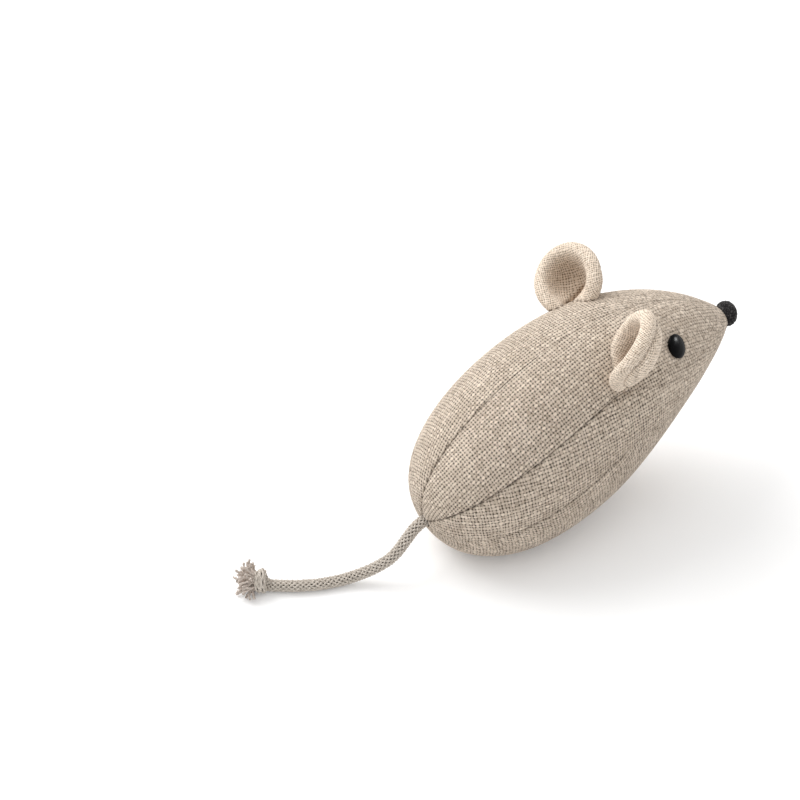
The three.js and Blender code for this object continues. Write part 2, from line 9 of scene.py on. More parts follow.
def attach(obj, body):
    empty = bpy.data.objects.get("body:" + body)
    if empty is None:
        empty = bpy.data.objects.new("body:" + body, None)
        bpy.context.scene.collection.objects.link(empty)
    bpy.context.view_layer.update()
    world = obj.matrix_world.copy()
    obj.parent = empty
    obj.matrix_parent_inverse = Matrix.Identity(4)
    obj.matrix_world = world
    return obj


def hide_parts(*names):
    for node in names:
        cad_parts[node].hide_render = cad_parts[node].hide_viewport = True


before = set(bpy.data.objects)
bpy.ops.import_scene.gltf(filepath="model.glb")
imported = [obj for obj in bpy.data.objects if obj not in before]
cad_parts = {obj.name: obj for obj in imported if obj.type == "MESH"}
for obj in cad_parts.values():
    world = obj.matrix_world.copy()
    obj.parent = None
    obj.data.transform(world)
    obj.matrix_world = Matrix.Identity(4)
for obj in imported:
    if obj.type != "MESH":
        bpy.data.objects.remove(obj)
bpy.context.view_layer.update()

mm = 0.001
degree = math.pi / 180
fullTurn = 2 * math.pi
print("frame:", len(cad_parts), "nodes")


# Node maths: a wire is a node's output, and sums on wires add Math nodes
class Wire:
    def __init__(self, finish, socket):
        self.finish = finish
        self.socket = socket

    # Another output of the same node
    def beside(self, name):
        return Wire(self.finish, self.socket.node.outputs[name])

    def math(self, operation, *values):
        return self.finish.node("ShaderNodeMath", {"operation": operation}, values)

    def __add__(self, other):
        return self.math("ADD", self, other)

    def __sub__(self, other):
        return self.math("SUBTRACT", self, other)

    def __rsub__(self, other):
        return self.math("SUBTRACT", other, self)

    def __mul__(self, other):
        return self.math("MULTIPLY", self, other)

    def __truediv__(self, other):
        return self.math("DIVIDE", self, other)

    __radd__ = __add__
    __rmul__ = __mul__

    def floor(self):
        return self.math("FLOOR", self)

    def fract(self):
        return self.math("FRACT", self)

    def absolute(self):
        return self.math("ABSOLUTE", self)

    def cos(self):
        return self.math("COSINE", self)

    def root(self):
        return self.math("SQRT", self)

    def least(self, other):
        return self.math("MINIMUM", self, other)

    def most(self, other):
        return self.math("MAXIMUM", self, other)

    def ramp(self, low, high, start=0, end=1):
        settings = {"interpolation_type": "SMOOTHSTEP"}
        return self.finish.node("ShaderNodeMapRange", settings, (self, low, high, start, end))


class Finish:
    def __init__(self, tree):
        self.tree = tree
        tree.nodes.clear()

    # Any node: its type, its settings, then its sockets by place or by name
    def node(self, kind, settings=None, inputs=(), out=0):
        made = self.tree.nodes.new(kind)
        for name, value in (settings or {}).items():
            setattr(made, name, value)
        pairs = inputs.items() if isinstance(inputs, dict) else enumerate(inputs)
        for key, value in pairs:
            if isinstance(value, Wire):
                self.tree.links.new(value.socket, made.inputs[key])
            else:
                made.inputs[key].default_value = value
        return Wire(self, made.outputs[out]) if made.outputs else None

    def mix(self, share, first, second, blend="MIX"):
        settings = {"data_type": "RGBA", "blend_type": blend}
        return self.node("ShaderNodeMix", settings, {0: share, 6: first, 7: second}, 2)

    def attribute(self, name):
        return self.node("ShaderNodeAttribute", {"attribute_name": name}, out=2)

    def combine(self, *values):
        return self.node("ShaderNodeCombineXYZ", None, values)

    def noise(self, vector, scale, detail=2.0):
        inputs = {"Vector": vector, "Scale": scale, "Detail": detail}
        return self.node("ShaderNodeTexNoise", None, inputs)

    def place(self):
        return self.node("ShaderNodeTexCoord", out=3)

    def bump(self, height, strength, distance):
        inputs = {"Height": height, "Strength": strength, "Distance": distance}
        return self.node("ShaderNodeBump", None, inputs)

    def surface(self, **sockets):
        inputs = {name.replace("_", " "): value for name, value in sockets.items()}
        return self.node("ShaderNodeBsdfPrincipled", None, inputs)

    def output(self, shader, kind="ShaderNodeOutputMaterial"):
        self.node(kind, None, {"Surface": shader})


def newFinish(name):
    made = bpy.data.materials.new(name)
    made.use_nodes = True
    return made, Finish(made.node_tree)


# A colour as it looks on screen, in 256 steps, turned into the linear one that shaders use
def paint(red, green, blue):
    linear = [((c / 255 + 0.055) / 1.055) ** 2.4 for c in (red, green, blue)]
    return (*linear, 1.0)


def addObject(name, data):
    made = bpy.data.objects.new(name, data)
    bpy.context.scene.collection.objects.link(made)
    return made


def smoothMesh(name, bm):
    mesh = bpy.data.meshes.new(name)
    bm.to_mesh(mesh)
    bm.free()
    mesh.polygons.foreach_set("use_smooth", np.ones(len(mesh.polygons), dtype=bool))
    return mesh


# Most pieces share their name with their CAD node, which is in small letters
def nodeOf(name):
    return "".join("_" + letter.lower() if letter.isupper() else letter for letter in name)


def showPiece(name, bm, material, node=None):
    piece = addObject(name, smoothMesh(name, bm))
    piece.data.materials.append(material)
    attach(piece, "root")
    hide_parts(node or nodeOf(name))
    return piece


# Camera at the photograph's angle, aimed so that the toy lies right of the middle
camera = {
    "place": Vector((-316.5, -449.4, 530.2)) * mm,
    "aim": Vector((-40.9, 37, 27.1)) * mm,
    "yaw": 35.15 * degree,
    "focal": 2458, "picture": 800,  # both in points of the picture
    "sensor": 36.0, "near": 0.05, "far": 20.0,
}


def makeCamera(spec):
    data = bpy.data.cameras.new("camera")
    data.sensor_width = spec["sensor"]
    data.lens = spec["focal"] / spec["picture"] * spec["sensor"]
    data.clip_start = spec["near"]
    data.clip_end = spec["far"]
    ahead = (spec["aim"] - spec["place"]).normalized()
    level = Vector((math.cos(spec["yaw"]), -math.sin(spec["yaw"]), 0))
    across = (level - level.dot(ahead) * ahead).normalized()
    turn = Matrix((across, across.cross(ahead), -ahead)).transposed()
    eye = addObject("camera", data)
    eye.matrix_world = Matrix.Translation(spec["place"]) @ turn.to_4x4()
    bpy.context.scene.camera = eye


makeCamera(camera)
print("camera made")


# Verts and their neighbours
def placesOf(verts):
    return np.array([vert.co for vert in verts])


def putOn(bm, places):
    for vert, place in zip(bm.verts, places):
        vert.co = place


# The edges or faces at some verts, each once and in order
def touching(verts, kind):
    return list(dict.fromkeys(item for vert in verts for item in getattr(vert, kind)))


# Curves in space
def unit(vectors):
    return vectors / np.linalg.norm(vectors, axis=-1, keepdims=True)


def arcRun(points):
    return np.concatenate([[0], np.cumsum(np.linalg.norm(np.diff(points, axis=0), axis=1))])


def pathLength(points):
    return float(arcRun(points)[-1])


def rowsAt(at, run, rows):
    return np.stack([np.interp(at, run, column) for column in rows.T], 1)


# A smooth curve through points, in even steps
def smoothPath(points, spacing, fine=24):
    corners = np.array(points, float)
    ends = [2 * corners[0] - corners[1], *corners, 2 * corners[-1] - corners[-2]]
    dense = []
    for a, b, c, d in zip(ends, ends[1:], ends[2:], ends[3:]):
        for t in np.linspace(0, 1, fine, endpoint=False):
            turn = (c - a) * t + (2 * a - 5 * b + 4 * c - d) * t**2 + (3 * b - a - 3 * c + d) * t**3
            dense.append(b + turn / 2)
    dense = np.array([*dense, corners[-1]])
    run = arcRun(dense)
    count = max(2, int(round(run[-1] / spacing)) + 1)
    return rowsAt(np.linspace(0, run[-1], count), run, dense)


# Side vectors that turn along a path without twisting
def pathSides(points):
    aims = unit(np.gradient(points, axis=0))
    isSteep = abs(aims[0][2]) >= 0.9
    sides = [unit(np.cross(aims[0], (1, 0, 0) if isSteep else (0, 0, 1)))]
    for aim in aims[1:]:
        sides.append(unit(sides[-1] - aim * (sides[-1] @ aim)))
    sides = np.array(sides)
    return sides, np.cross(aims, sides)


# Bends a straight cord that lies along X onto a path
def layAlong(bm, points):
    run = arcRun(points)
    flat = placesOf(bm.verts)
    at = np.clip(flat[:, 0], 0, run[-1])
    middle, side, top = (rowsAt(at, run, rows) for rows in (points, *pathSides(points)))
    putOn(bm, middle + side * flat[:, 1:2] + top * flat[:, 2:3])


# A straight cord along X: strands turned by spin, some left-handed, waving over and under each other
def twistStrands(bm, spec, length):
    run = bm.verts.layers.float.new("run")
    ply = bm.verts.layers.float.new("ply")
    steps = max(4, int(length / spec["step"]))
    lean = math.atan(fullTurn * spec["radius"] / spec["lead"])
    for hand in spec["hands"]:
        ring = bmesh.ops.create_circle(bm, segments=spec["sides"], radius=1)["verts"]
        for index, vert in enumerate(ring):
            vert[ply] = index / spec["sides"]
        bmesh.ops.scale(bm, verts=ring, vec=(spec["wide"], spec["thick"], 1))
        # the ring stands square to its strand, with its thickness outward
        bmesh.ops.rotate(bm, verts=ring, matrix=Matrix(((0, 0, 1), (0, 1, 0), (-1, 0, 0))))
        bmesh.ops.rotate(bm, verts=ring, matrix=Matrix.Rotation(-hand * lean, 3, "Y"))
        bmesh.ops.translate(bm, verts=ring, vec=(0, spec["radius"], 0))
        before = set(bm.verts)
        bmesh.ops.spin(
            bm, geom=touching(ring, "link_edges"), cent=(0, 0, 0), axis=(1, 0, 0), steps=steps,
            angle=hand * length / spec["lead"] * fullTurn, dvec=(length / steps, 0, 0), use_duplicate=False,
        )
        strand = ring + [vert for vert in bm.verts if vert not in before]
        for index, vert in enumerate(strand):
            vert[run] = index // spec["sides"] * length / steps
            wave = hand * spec["sway"] * math.cos(fullTurn * vert[run] / spec["lead"] * spec["count"])
            vert.co += Vector((0, vert.co.y, vert.co.z)).normalized() * wave
        openEdges = [edge for edge in touching(strand, "link_edges") if edge.is_boundary]
        bmesh.ops.holes_fill(bm, edges=openEdges, sides=spec["sides"])
        geometry = strand + touching(strand, "link_faces")
        for copy in range(1, spec["count"]):
            made = bmesh.ops.duplicate(bm, geom=geometry)["geom"]
            verts = [item for item in made if isinstance(item, bmesh.types.BMVert)]
            turn = Matrix.Rotation(fullTurn * copy / spec["count"], 3, "X")
            bmesh.ops.rotate(bm, verts=verts, matrix=turn)
    bmesh.ops.recalc_face_normals(bm, faces=bm.faces)


# The core of a braid, with a ring every millimetre. Its ply is below 0, so the finish paints it nearly black,
# as painted shade between the strands
def addCore(bm, radius, length):
    turn = Matrix.Translation((length / 2, 0, 0)) @ Matrix.Rotation(math.pi / 2, 4, "Y")
    made = bmesh.ops.create_cone(
        bm, cap_ends=True, segments=10, radius1=radius, radius2=radius, depth=length, matrix=turn,
    )["verts"]
    ply = bm.verts.layers.float["ply"]
    for vert in made:
        vert[ply] = -1
    edges = touching(made, "link_edges")
    rails = [edge for edge in edges if abs(edge.verts[0].co.x - edge.verts[1].co.x) > length / 2]
    bmesh.ops.subdivide_edges(bm, edges=rails, cuts=int(length / mm))


def braidAlong(path, spec):
    bm = bmesh.new()
    twistStrands(bm, spec["braid"], pathLength(path))
    addCore(bm, spec["core"], pathLength(path))
    layAlong(bm, path)
    return bm


# Cord finish: yarns run aslant along each strand, with specks, and painted shade darkens the lines between
# the yarns and the core
# core is painted shade: the near black seen between the strands of a braid
cordPaint = {"light": paint(222, 213, 202), "dark": paint(124, 115, 104), "core": paint(24, 20, 17)}
frayPaint = {"light": paint(218, 206, 196), "dark": paint(130, 118, 108), "core": paint(70, 62, 54)}
cordGrain = {"yarns": 4, "slant": 900, "specks": 1400.0, "depth": 0.08 * mm}


def cordFinish(name, spec):
    material, finish = newFinish(name)
    ply = finish.attribute("ply")
    slant = finish.attribute("run") * cordGrain["slant"]
    # painted shade: darker along the lines between the yarns of each strand
    yarns = ((ply * cordGrain["yarns"] + slant).fract() - 0.5).absolute()
    speck = finish.noise(finish.place(), cordGrain["specks"], 3.0)
    tone = (yarns.ramp(0.5, 0.1) * 0.35 + speck * 0.65).ramp(0.2, 0.62)
    colour = finish.mix(tone, spec["dark"], spec["light"])
    # painted shade: the core is nearly black
    colour = finish.mix(ply.ramp(-0.2, -0.8), colour, spec["core"])
    normal = finish.bump(yarns.ramp(0.5, 0.0) + speck * 0.5, 0.5, cordGrain["depth"])
    finish.output(finish.surface(Base_Color=colour, Roughness=0.95, Normal=normal, Specular_IOR_Level=0.15))
    return material


cordMaterial = cordFinish("braidedCotton", cordPaint)
frayMaterial = cordFinish("frayedCotton", frayPaint)

# Tail: its route from inside the rump to the knot at its end, as steps in mm from the tail hole
tail = {
    "hole": Vector((-57.015, -1.278, 15.6)) * mm,
    "route": [
        (2.21, 0, 0.43), (0, 0, 0), (-2.2, 0, -0.5), (-5.1, -0.6, -1.8), (-8, -1.2, -3.6),
        (-10.6, -1.5, -5.5), (-13.1, -1.3, -7.3), (-15.7, -0.3, -9.1), (-18.4, 1, -10.8), (-21.4, 2.4, -12.1),
        (-24.6, 3.7, -13), (-27.8, 5, -13.5), (-31, 6.2, -13.6), (-34.1, 7.5, -13.6), (-36.9, 9.1, -13.6),
        (-39.6, 10.7, -13.6), (-41.8, 12.3, -13.6), (-43.7, 13.7, -13.6), (-45.4, 15, -13.6),
    ],
    "intoKnot": [(1.2, 0.6), (2.6, 1.6)],  # ahead and up, in mm
    "spacing": 0.5 * mm, "thinned": 6, "diameter": 3.7 * mm, "core": 1.0 * mm,
    "braid": {
        "hands": (1, -1), "count": 8, "radius": 1.36 * mm, "lead": 13.2 * mm, "sides": 6, "step": 0.27 * mm,
        "wide": 0.29 * mm, "thick": 0.37 * mm, "sway": 0.2 * mm,
    },
}


# The cord follows its route and runs on into the middle of the end knot
def makeTail(spec, route):
    aim = unit(route[-1] - route[-2])
    inKnot = [route[-1] + aim * ahead * mm + (0, 0, rise * mm) for ahead, rise in spec["intoKnot"]]
    path = smoothPath([*route[:-1:spec["thinned"]], route[-1], *inKnot], spec["spacing"])
    return showPiece("tailCord", braidAlong(path, spec), cordMaterial), path


tailRoute = smoothPath([tail["hole"] + Vector(step) * mm for step in tail["route"]], tail["spacing"])
tailCord, cordRoute = makeTail(tail, tailRoute)
print("tail cord laid:", round(pathLength(cordRoute) / mm, 1), "mm")


# Body form: a profile of two curves turned about an axis that sags at the rump and rises at the neck
body = {
    "hole": tail["hole"], "pitch": 13.75 * degree, "length": 112 * mm,
    "halfHeight": 27.7 * mm, "halfWidth": 28.3 * mm, "fullestAt": 41.7 * mm,
    "holeRadius": 2.15 * mm, "rumpRise": 12 * mm, "rumpReach": 27.6 * mm, "neckReach": 41 * mm,
    "snoutRadius": 3.3 * mm, "snoutReach": 6 * mm, "snoutSlope": 50 * degree,
    "rumpSag": -2.2 * mm, "neckRise": 18.3 * mm,
    "bellyDrop": 6 * mm, "bellyAt": 54 * mm, "bellySpan": 16 * mm,
}


def bezier(a, b, c, d, count=500):
    t = np.linspace(0, 1, count)[:, None]
    a, b, c, d = (np.array(point, float) for point in (a, b, c, d))
    return a * (1 - t) ** 3 + 3 * b * t * (1 - t) ** 2 + 3 * c * t**2 * (1 - t) + d * t**3


def bodyProfile(form):
    full = (form["fullestAt"], form["halfHeight"])
    end = (form["length"], form["snoutRadius"])
    slope = form["snoutSlope"]
    lean = (end[0] - form["snoutReach"] * math.cos(slope), end[1] + form["snoutReach"] * math.sin(slope))
    start = (0, form["holeRadius"])
    rump = bezier(start, (0, start[1] + form["rumpRise"]), (full[0] - form["rumpReach"], full[1]), full)
    neck = bezier(full, (full[0] + form["neckReach"], full[1]), lean, end)
    points = np.vstack([rump, neck[1:]])
    run = arcRun(points)
    return run, points, np.gradient(points, run, axis=0)


profileRun, profilePoints, profileAims = bodyProfile(body)
skinLength = profileRun[-1]


def alongAxis(run):
    return np.interp(run, profileRun, profilePoints[:, 0])


def girth(run):
    return np.interp(run, profileRun, profilePoints[:, 1])


# How far the curved axis stands above the straight line from the tail hole
def axisRise(along):
    share = along / body["length"]
    return 3 * share * (1 - share) * ((1 - share) * body["rumpSag"] + share * body["neckRise"])


# A point of the skin by its run along the profile and its angle from the top, positive to the toy's left
def skinPoint(run, around, inset=0.0):
    form = body
    along = alongAxis(run) + inset * np.interp(run, profileRun, profileAims[:, 1])
    radius = girth(run) - inset * np.interp(run, profileRun, profileAims[:, 0])
    low = np.minimum(np.cos(around), 0)
    drop = form["bellyDrop"] * np.exp(-(((along - form["bellyAt"]) / form["bellySpan"]) ** 2)) * low**4
    height = axisRise(along) + radius * np.cos(around) - drop
    side = form["hole"].y + radius * form["halfWidth"] / form["halfHeight"] * np.sin(around)
    lean = form["pitch"]
    x = form["hole"].x + along * math.cos(lean) - height * math.sin(lean)
    z = form["hole"].z + along * math.sin(lean) + height * math.cos(lean)
    return np.stack([x, side, np.maximum(z, np.maximum(inset, 0))], -1)


# A place on the skin with the direction straight out of it, from two short steps
def skinFrame(along, around):
    run = np.interp(along, profilePoints[:, 0], profileRun)
    runStep, aroundStep = 1e-5, 1e-4
    spots = skinPoint(run + np.array((0, runStep, 0)), around + np.array((0, 0, aroundStep)))
    return spots[0], unit(np.cross(spots[1] - spots[0], spots[2] - spots[0]))


# How far points stand above the skin
def aboveSkin(places):
    form = body
    lean = form["pitch"]
    x, z = places[:, 0] - form["hole"].x, places[:, 2] - form["hole"].z
    along = x * math.cos(lean) + z * math.sin(lean)
    height = z * math.cos(lean) - x * math.sin(lean)
    radius = np.interp(along, profilePoints[:, 0], profilePoints[:, 1])
    side = (places[:, 1] - form["hole"].y) * form["halfHeight"] / form["halfWidth"]
    return np.hypot(height - axisRise(along), side) - radius


# Eyes: where each is set, and the puckered dimple that its washer pulls into the cloth
eyes = {
    "radius": 3.7 * mm, "height": 1.6 * mm, "skirt": 0.4 * mm, "foot": 0.93, "sunk": 0.3 * mm,
    "dimple": 0.45 * mm, "dimpleReach": 4.7 * mm, "pucker": 0.14 * mm, "puckers": 9, "puckerWidth": 1.4 * mm,
    "plastic": {"colour": paint(2, 2, 3), "grain": 900.0, "patchy": 0.8, "rough": (0.2, 0.3), "shine": 0.055},
    "poses": {
        "Left": {
            "seat": 83 * mm, "around": 60.5 * degree, "lift": -0.65 * mm, "tilt": -8 * degree, "nod": 0.0,
        },
        "Right": {
            "seat": 87.2 * mm, "around": -52 * degree, "lift": -0.2 * mm, "tilt": 9 * degree, "nod": 0.14,
        },
    },
}


def eyeDip(places):
    dip = np.zeros(len(places))
    for pose in eyes["poses"].values():
        point = skinFrame(pose["seat"], pose["around"])[0]
        away = np.linalg.norm(places - point, axis=1)
        turn = np.arctan2(places[:, 2] - point[2], places[:, 0] - point[0])
        dip += eyes["dimple"] * np.exp(-((away / eyes["dimpleReach"]) ** 4))
        ring = np.exp(-(((away - eyes["dimpleReach"]) / eyes["puckerWidth"]) ** 2))
        dip += eyes["pucker"] * ring * np.cos(eyes["puckers"] * turn + 2 * np.sin(2 * turn))
    return dip


# Linen in plain weave: threads run along and across, each over one and under the next
weave = {
    "along": 0.965 * mm, "across": 1.05 * mm, "thread": 0.84, "sway": 0.35, "relief": 0.2 * mm,
    "stray": 0.22, "drift": 2.6, "strayTable": (512, 64),
    "headLoose": 1.5, "headFrom": 68 * mm, "headTo": 84 * mm,
}


# A table's value between its rows and columns, which run on round its ends
def between(table, down, over):
    rows, columns = table.shape
    j, i = np.floor(down).astype(int), np.floor(over).astype(int)
    v, u = down - j, over - i

    def at(below, beside):
        return table[(j + below) % rows, (i + beside) % columns]

    return (at(0, 0) * (1 - u) + at(0, 1) * u) * (1 - v) + (at(1, 0) * (1 - u) + at(1, 1) * u) * v


# Hand-spun thread is uneven: each strays a little from its place and drifts along its length
def strayThread(run, row, seed):
    table = np.random.default_rng(seed).uniform(-weave["stray"], weave["stray"], weave["strayTable"])
    return between(table, row, run / weave["drift"])


def threadPlaces(flat, seed, loose):
    p, q = flat[:, 0] / weave["along"], flat[:, 1] / weave["across"]
    return np.stack([p + loose * strayThread(q, p, seed), q + loose * strayThread(p, q, seed + 1)], 1)


# How far the upper thread stands above the skin, below 0 at a thread's sides and in the gaps
def threadLift(threads):
    p, q = threads.T
    i, j = np.floor(p), np.floor(q)
    a, b = p - i - 0.5, q - j - 0.5
    wide = weave["thread"] / 2
    warp = np.sqrt(np.maximum(0, 1 - (b / wide) ** 2))
    warp += weave["sway"] * np.cos(math.pi * (p - 0.5)) * np.where(j % 2 == 0, 1, -1)
    weft = np.sqrt(np.maximum(0, 1 - (a / wide) ** 2))
    weft -= weave["sway"] * np.cos(math.pi * (q - 0.5)) * np.where(i % 2 == 0, 1, -1)
    return (np.maximum(warp, weft) - 1) * weave["relief"]


linenPaint = {
    # gap is painted shade: the dark seen in the weave's holes between threads; outline sets the painted shade
    # where one thread dives under another
    "light": paint(230, 215, 198), "mid": paint(176, 160, 143), "gap": paint(52, 43, 34),
    # deep is the colour multiplied in as painted shade in hollows; white here, so the body gets none
    "seam": paint(52, 43, 34), "deep": paint(255, 255, 255), "outline": 0.4,
}


# The shader draws the same threads as the mesh has, from its weave map
def linenFinish(name, spec):
    material, finish = newFinish(name)
    threads = finish.node("ShaderNodeUVMap", {"uv_map": "weave"})
    p = finish.node("ShaderNodeSeparateXYZ", None, {0: threads})
    q = p.beside(1)
    i, j = p.floor(), q.floor()
    a, b = p - i - 0.5, q - j - 0.5
    wide = weave["thread"] / 2

    def rounded(offset):
        return (1 - (offset / wide) * (offset / wide)).most(0).root()

    def swing(run, row):
        odd = row.math("FLOORED_MODULO", row, 2.0)
        return ((run - 0.5) * math.pi).cos() * (1 - odd * 2)

    warp = rounded(b) + swing(p, j) * weave["sway"]
    weft = rounded(a) - swing(q, i) * weave["sway"]
    top = warp.most(weft)
    isWarp = warp.math("GREATER_THAN", warp, weft)

    # each thread has its own tint and grows paler and darker along its run
    def yarn(run, row, seed):
        along = finish.noise(finish.combine(run * 0.5, row * 3.7 + seed, seed), 1.0, 3.0)
        tint = finish.node("ShaderNodeTexWhiteNoise", {"noise_dimensions": "1D"}, {"W": row + seed + 0.5})
        return along * 0.85 + tint * 0.15

    warpTone = yarn(p, j, 11.0)
    weftTone = yarn(q, i, 57.0)
    tone = weftTone + (warpTone - weftTone) * isWarp
    patch = finish.noise(finish.place(), 90.0, 3.0)
    speck = finish.noise(finish.combine(p * 6.0, q * 6.0, 0.0), 1.0, 2.0)
    crossing = finish.combine(i, j, 0.0)
    nub = finish.node("ShaderNodeTexWhiteNoise", {"noise_dimensions": "2D"}, {"Vector": crossing})
    share = tone * 0.8 + patch * 0.25 + speck * 0.35 + nub * 0.2 + isWarp * 0.1
    thread = finish.mix(share.ramp(0.5, 1.25), spec["mid"], spec["light"])

    # gaps are painted dark, as the shade in the weave's holes; on broken cloth they are uneven, part filled
    # and run together in dashes
    gapNoise = finish.noise(finish.combine(p, q, 3.0), 0.7, 2.0)
    # painted shade along the edges where one thread passes under the other
    crossingShade = (warp - weft).absolute().ramp(0.0, 0.3) * spec["outline"] + (1 - spec["outline"])
    broken = finish.attribute("broken")
    unevenTop = top + (gapNoise - 0.5) * (broken * 1.1 + 0.5)
    filled = broken.ramp(0.5, 1.0, 0.0, 0.34)
    shown = 1 - (1 - unevenTop.ramp(0.37, 1.13) * crossingShade) * (1 - filled)
    colour = finish.mix(shown, spec["gap"], thread)
    dash = finish.noise(finish.combine(p * 1.5, q * 0.65, 5.0), 1.0, 2.0).ramp(0.53, 0.64)
    colour = finish.mix(dash * broken * 0.34, colour, spec["gap"])
    # painted shade: the ear lining is multiplied by the deep colour in its hollow and along its crease
    colour = finish.mix(finish.attribute("hollowShade") * 0.75, colour, spec["deep"], "MULTIPLY")
    colour = finish.mix(finish.attribute("seam"), colour, spec["seam"])
    normal = finish.bump(top.least(1.3) + speck * 0.25, 0.55, 0.1 * mm)
    finish.output(finish.surface(
        Base_Color=colour, Roughness=0.92, Normal=normal, Specular_IOR_Level=0.15, Sheen_Weight=0.08,
    ))
    return material


linenMaterial = linenFinish("naturalLinen", linenPaint)

# Seams: their angles from the top of the back, which spread on the head, and how each is sewn.
# "shows" is how clearly a seam shows at the rump, then each change of that from one place to another
seams = {
    "angles": {"top": 0.0, "side": 52.5 * degree, "lower": 90 * degree},
    "spread": {"top": 0.0, "side": 24 * degree, "lower": 24 * degree},
    "spreadFrom": 61 * mm, "spreadTo": 85 * mm,
    "shows": {
        "top": (0.85, (-0.77, 24 * mm, 44 * mm), (0.14, 66 * mm, 78 * mm)),
        "side": (0.9, (-0.9, 58 * mm, 70 * mm)),
        "lower": (0.0, (0.75, 8 * mm, 20 * mm), (-0.75, 50 * mm, 66 * mm)),
    },
    "roll": 0.6 * mm, "dip": 0.3 * mm, "dipWidth": 2.4 * mm, "line": 0.4 * mm,
    "stitch": 2.7 * mm, "stitchDrift": 3.1 * mm, "patch": 2.3 * mm, "patchDrift": 5.7 * mm,
    "turnedIn": 2 * mm, "hemFrom": 3.5 * mm, "hemTo": 9 * mm,
    "snap": 0.17 * mm, "slit": 0.03 * mm, "cloth": 0.4 * mm,
}


def smoothRamp(value, low, high):
    t = np.clip((value - low) / (high - low), 0, 1)
    return t * t * (3 - 2 * t)


def seamAngle(seam, run):
    onHead = smoothRamp(alongAxis(run), seams["spreadFrom"], seams["spreadTo"])
    return seams["angles"][seam] + seams["spread"][seam] * onHead


def seamShows(seam, run):
    first, *changes = seams["shows"][seam]
    return first + sum(change * smoothRamp(alongAxis(run), low, high) for change, low, high in changes)


# The depth and the dark line of one seam, by the distance to it
def seamDip(away, shows, run):
    roll = np.clip(1 - away / seams["roll"], 0, 1)
    tuck = seams["roll"] * (1 - np.sqrt(np.maximum(0, 1 - roll**2))) * (0.06 + 0.94 * shows)
    stitch = fullTurn * run / seams["stitch"]
    pucker = 0.75 + 0.25 * np.cos(stitch)
    dip = seams["dip"] * np.exp(-((away / seams["dipWidth"]) ** 2)) * (0.2 + 0.8 * shows) * pucker
    tick = 0.55 + 0.45 * np.cos(stitch + 1.3 * np.sin(run / seams["stitchDrift"]))
    patchy = 0.7 + 0.3 * np.sin(run / seams["patch"] + 2 * np.sin(run / seams["patchDrift"]))
    line = np.exp(-((away / seams["line"]) ** 2)) * shows * tick * patchy
    return tuck + dip, line


# The sewn cover swells between its seams under the stuffing's pressure, in a short cloth simulation
cover = {
    "rows": 72, "columns": 84, "scale": 10, "pressure": 60.0, "frames": 20, "most": 0.8 * mm,
    "held": 1.6 * mm, "heldGirth": 8 * mm, "heldHeight": 0.5 * mm,
}


def swellCover(spec):
    bm = bmesh.new()
    bmesh.ops.create_grid(bm, x_segments=spec["rows"], y_segments=spec["columns"], size=0.5)
    share = placesOf(bm.verts)[:, :2] + 0.5
    places = skinPoint(share[:, 0] * skinLength, share[:, 1] * fullTurn)
    spots = bm.verts.layers.float_vector.new("spot")
    for vert, spot, place in zip(bm.verts, share, places):
        vert[spots] = (spot[0], spot[1], 0)
        vert.co = place * spec["scale"]
    bmesh.ops.remove_doubles(bm, verts=bm.verts, dist=1e-6)
    share = np.array([vert[spots] for vert in bm.verts])
    piece = addObject("cover", smoothMesh("cover", bm))
    run, turn = share[:, 0] * skinLength, share[:, 1] * fullTurn
    turn = np.abs((turn + math.pi) % fullTurn - math.pi)
    away = np.min([np.abs(turn - seamAngle(seam, run)) for seam in seams["angles"]], axis=0) * girth(run)
    isEnd = girth(run) < spec["heldGirth"]
    isUnder = skinPoint(run, turn)[:, 2] < spec["heldHeight"]
    isHeld = (away < spec["held"]) | isEnd | isUnder
    piece.vertex_groups.new(name="sewn").add(np.flatnonzero(isHeld).tolist(), 1.0, "REPLACE")
    cloth = piece.modifiers.new("swell", "CLOTH")
    cloth.settings.vertex_group_mass = "sewn"
    cloth.settings.use_pressure = True
    cloth.settings.uniform_pressure_force = spec["pressure"]
    cloth.settings.effector_weights.gravity = 0
    cloth.collision_settings.use_collision = False
    cloth.point_cache.frame_end = spec["frames"]
    rest = placesOf(piece.data.vertices)
    outward = np.array([vert.normal for vert in piece.data.vertices])
    for step in range(1, spec["frames"] + 1):
        bpy.context.scene.frame_set(step)
    shown = piece.evaluated_get(bpy.context.evaluated_depsgraph_get())
    moved = placesOf(shown.data.vertices) - rest
    swell = np.sum(moved * outward, axis=1) / spec["scale"]
    print("cover swelled by at most", round(float(np.abs(swell).max()) / mm, 2), "mm")
    table = np.zeros((spec["rows"] + 1, spec["columns"] + 1))
    row, column = np.rint(share[:, :2] * (spec["rows"], spec["columns"])).astype(int).T
    table[row, column] = np.clip(swell, -spec["most"], spec["most"])
    table[:, 0] = table[:, -1] = np.maximum(table[:, 0], table[:, -1])
    bpy.data.objects.remove(piece)
    bpy.context.scene.frame_set(1)
    return table


coverSwell = swellCover(cover)


def swellAt(run, around):
    down = np.clip(run / skinLength, 0, 1) * cover["rows"]
    over = (around / fullTurn) % 1 * cover["columns"]
    return between(coverSwell, down, over)


def turnFlat(flat, turn):
    cos, sin = math.cos(turn), math.sin(turn)
    return np.stack([flat[:, 0] * cos - flat[:, 1] * sin, flat[:, 0] * sin + flat[:, 1] * cos], 1)


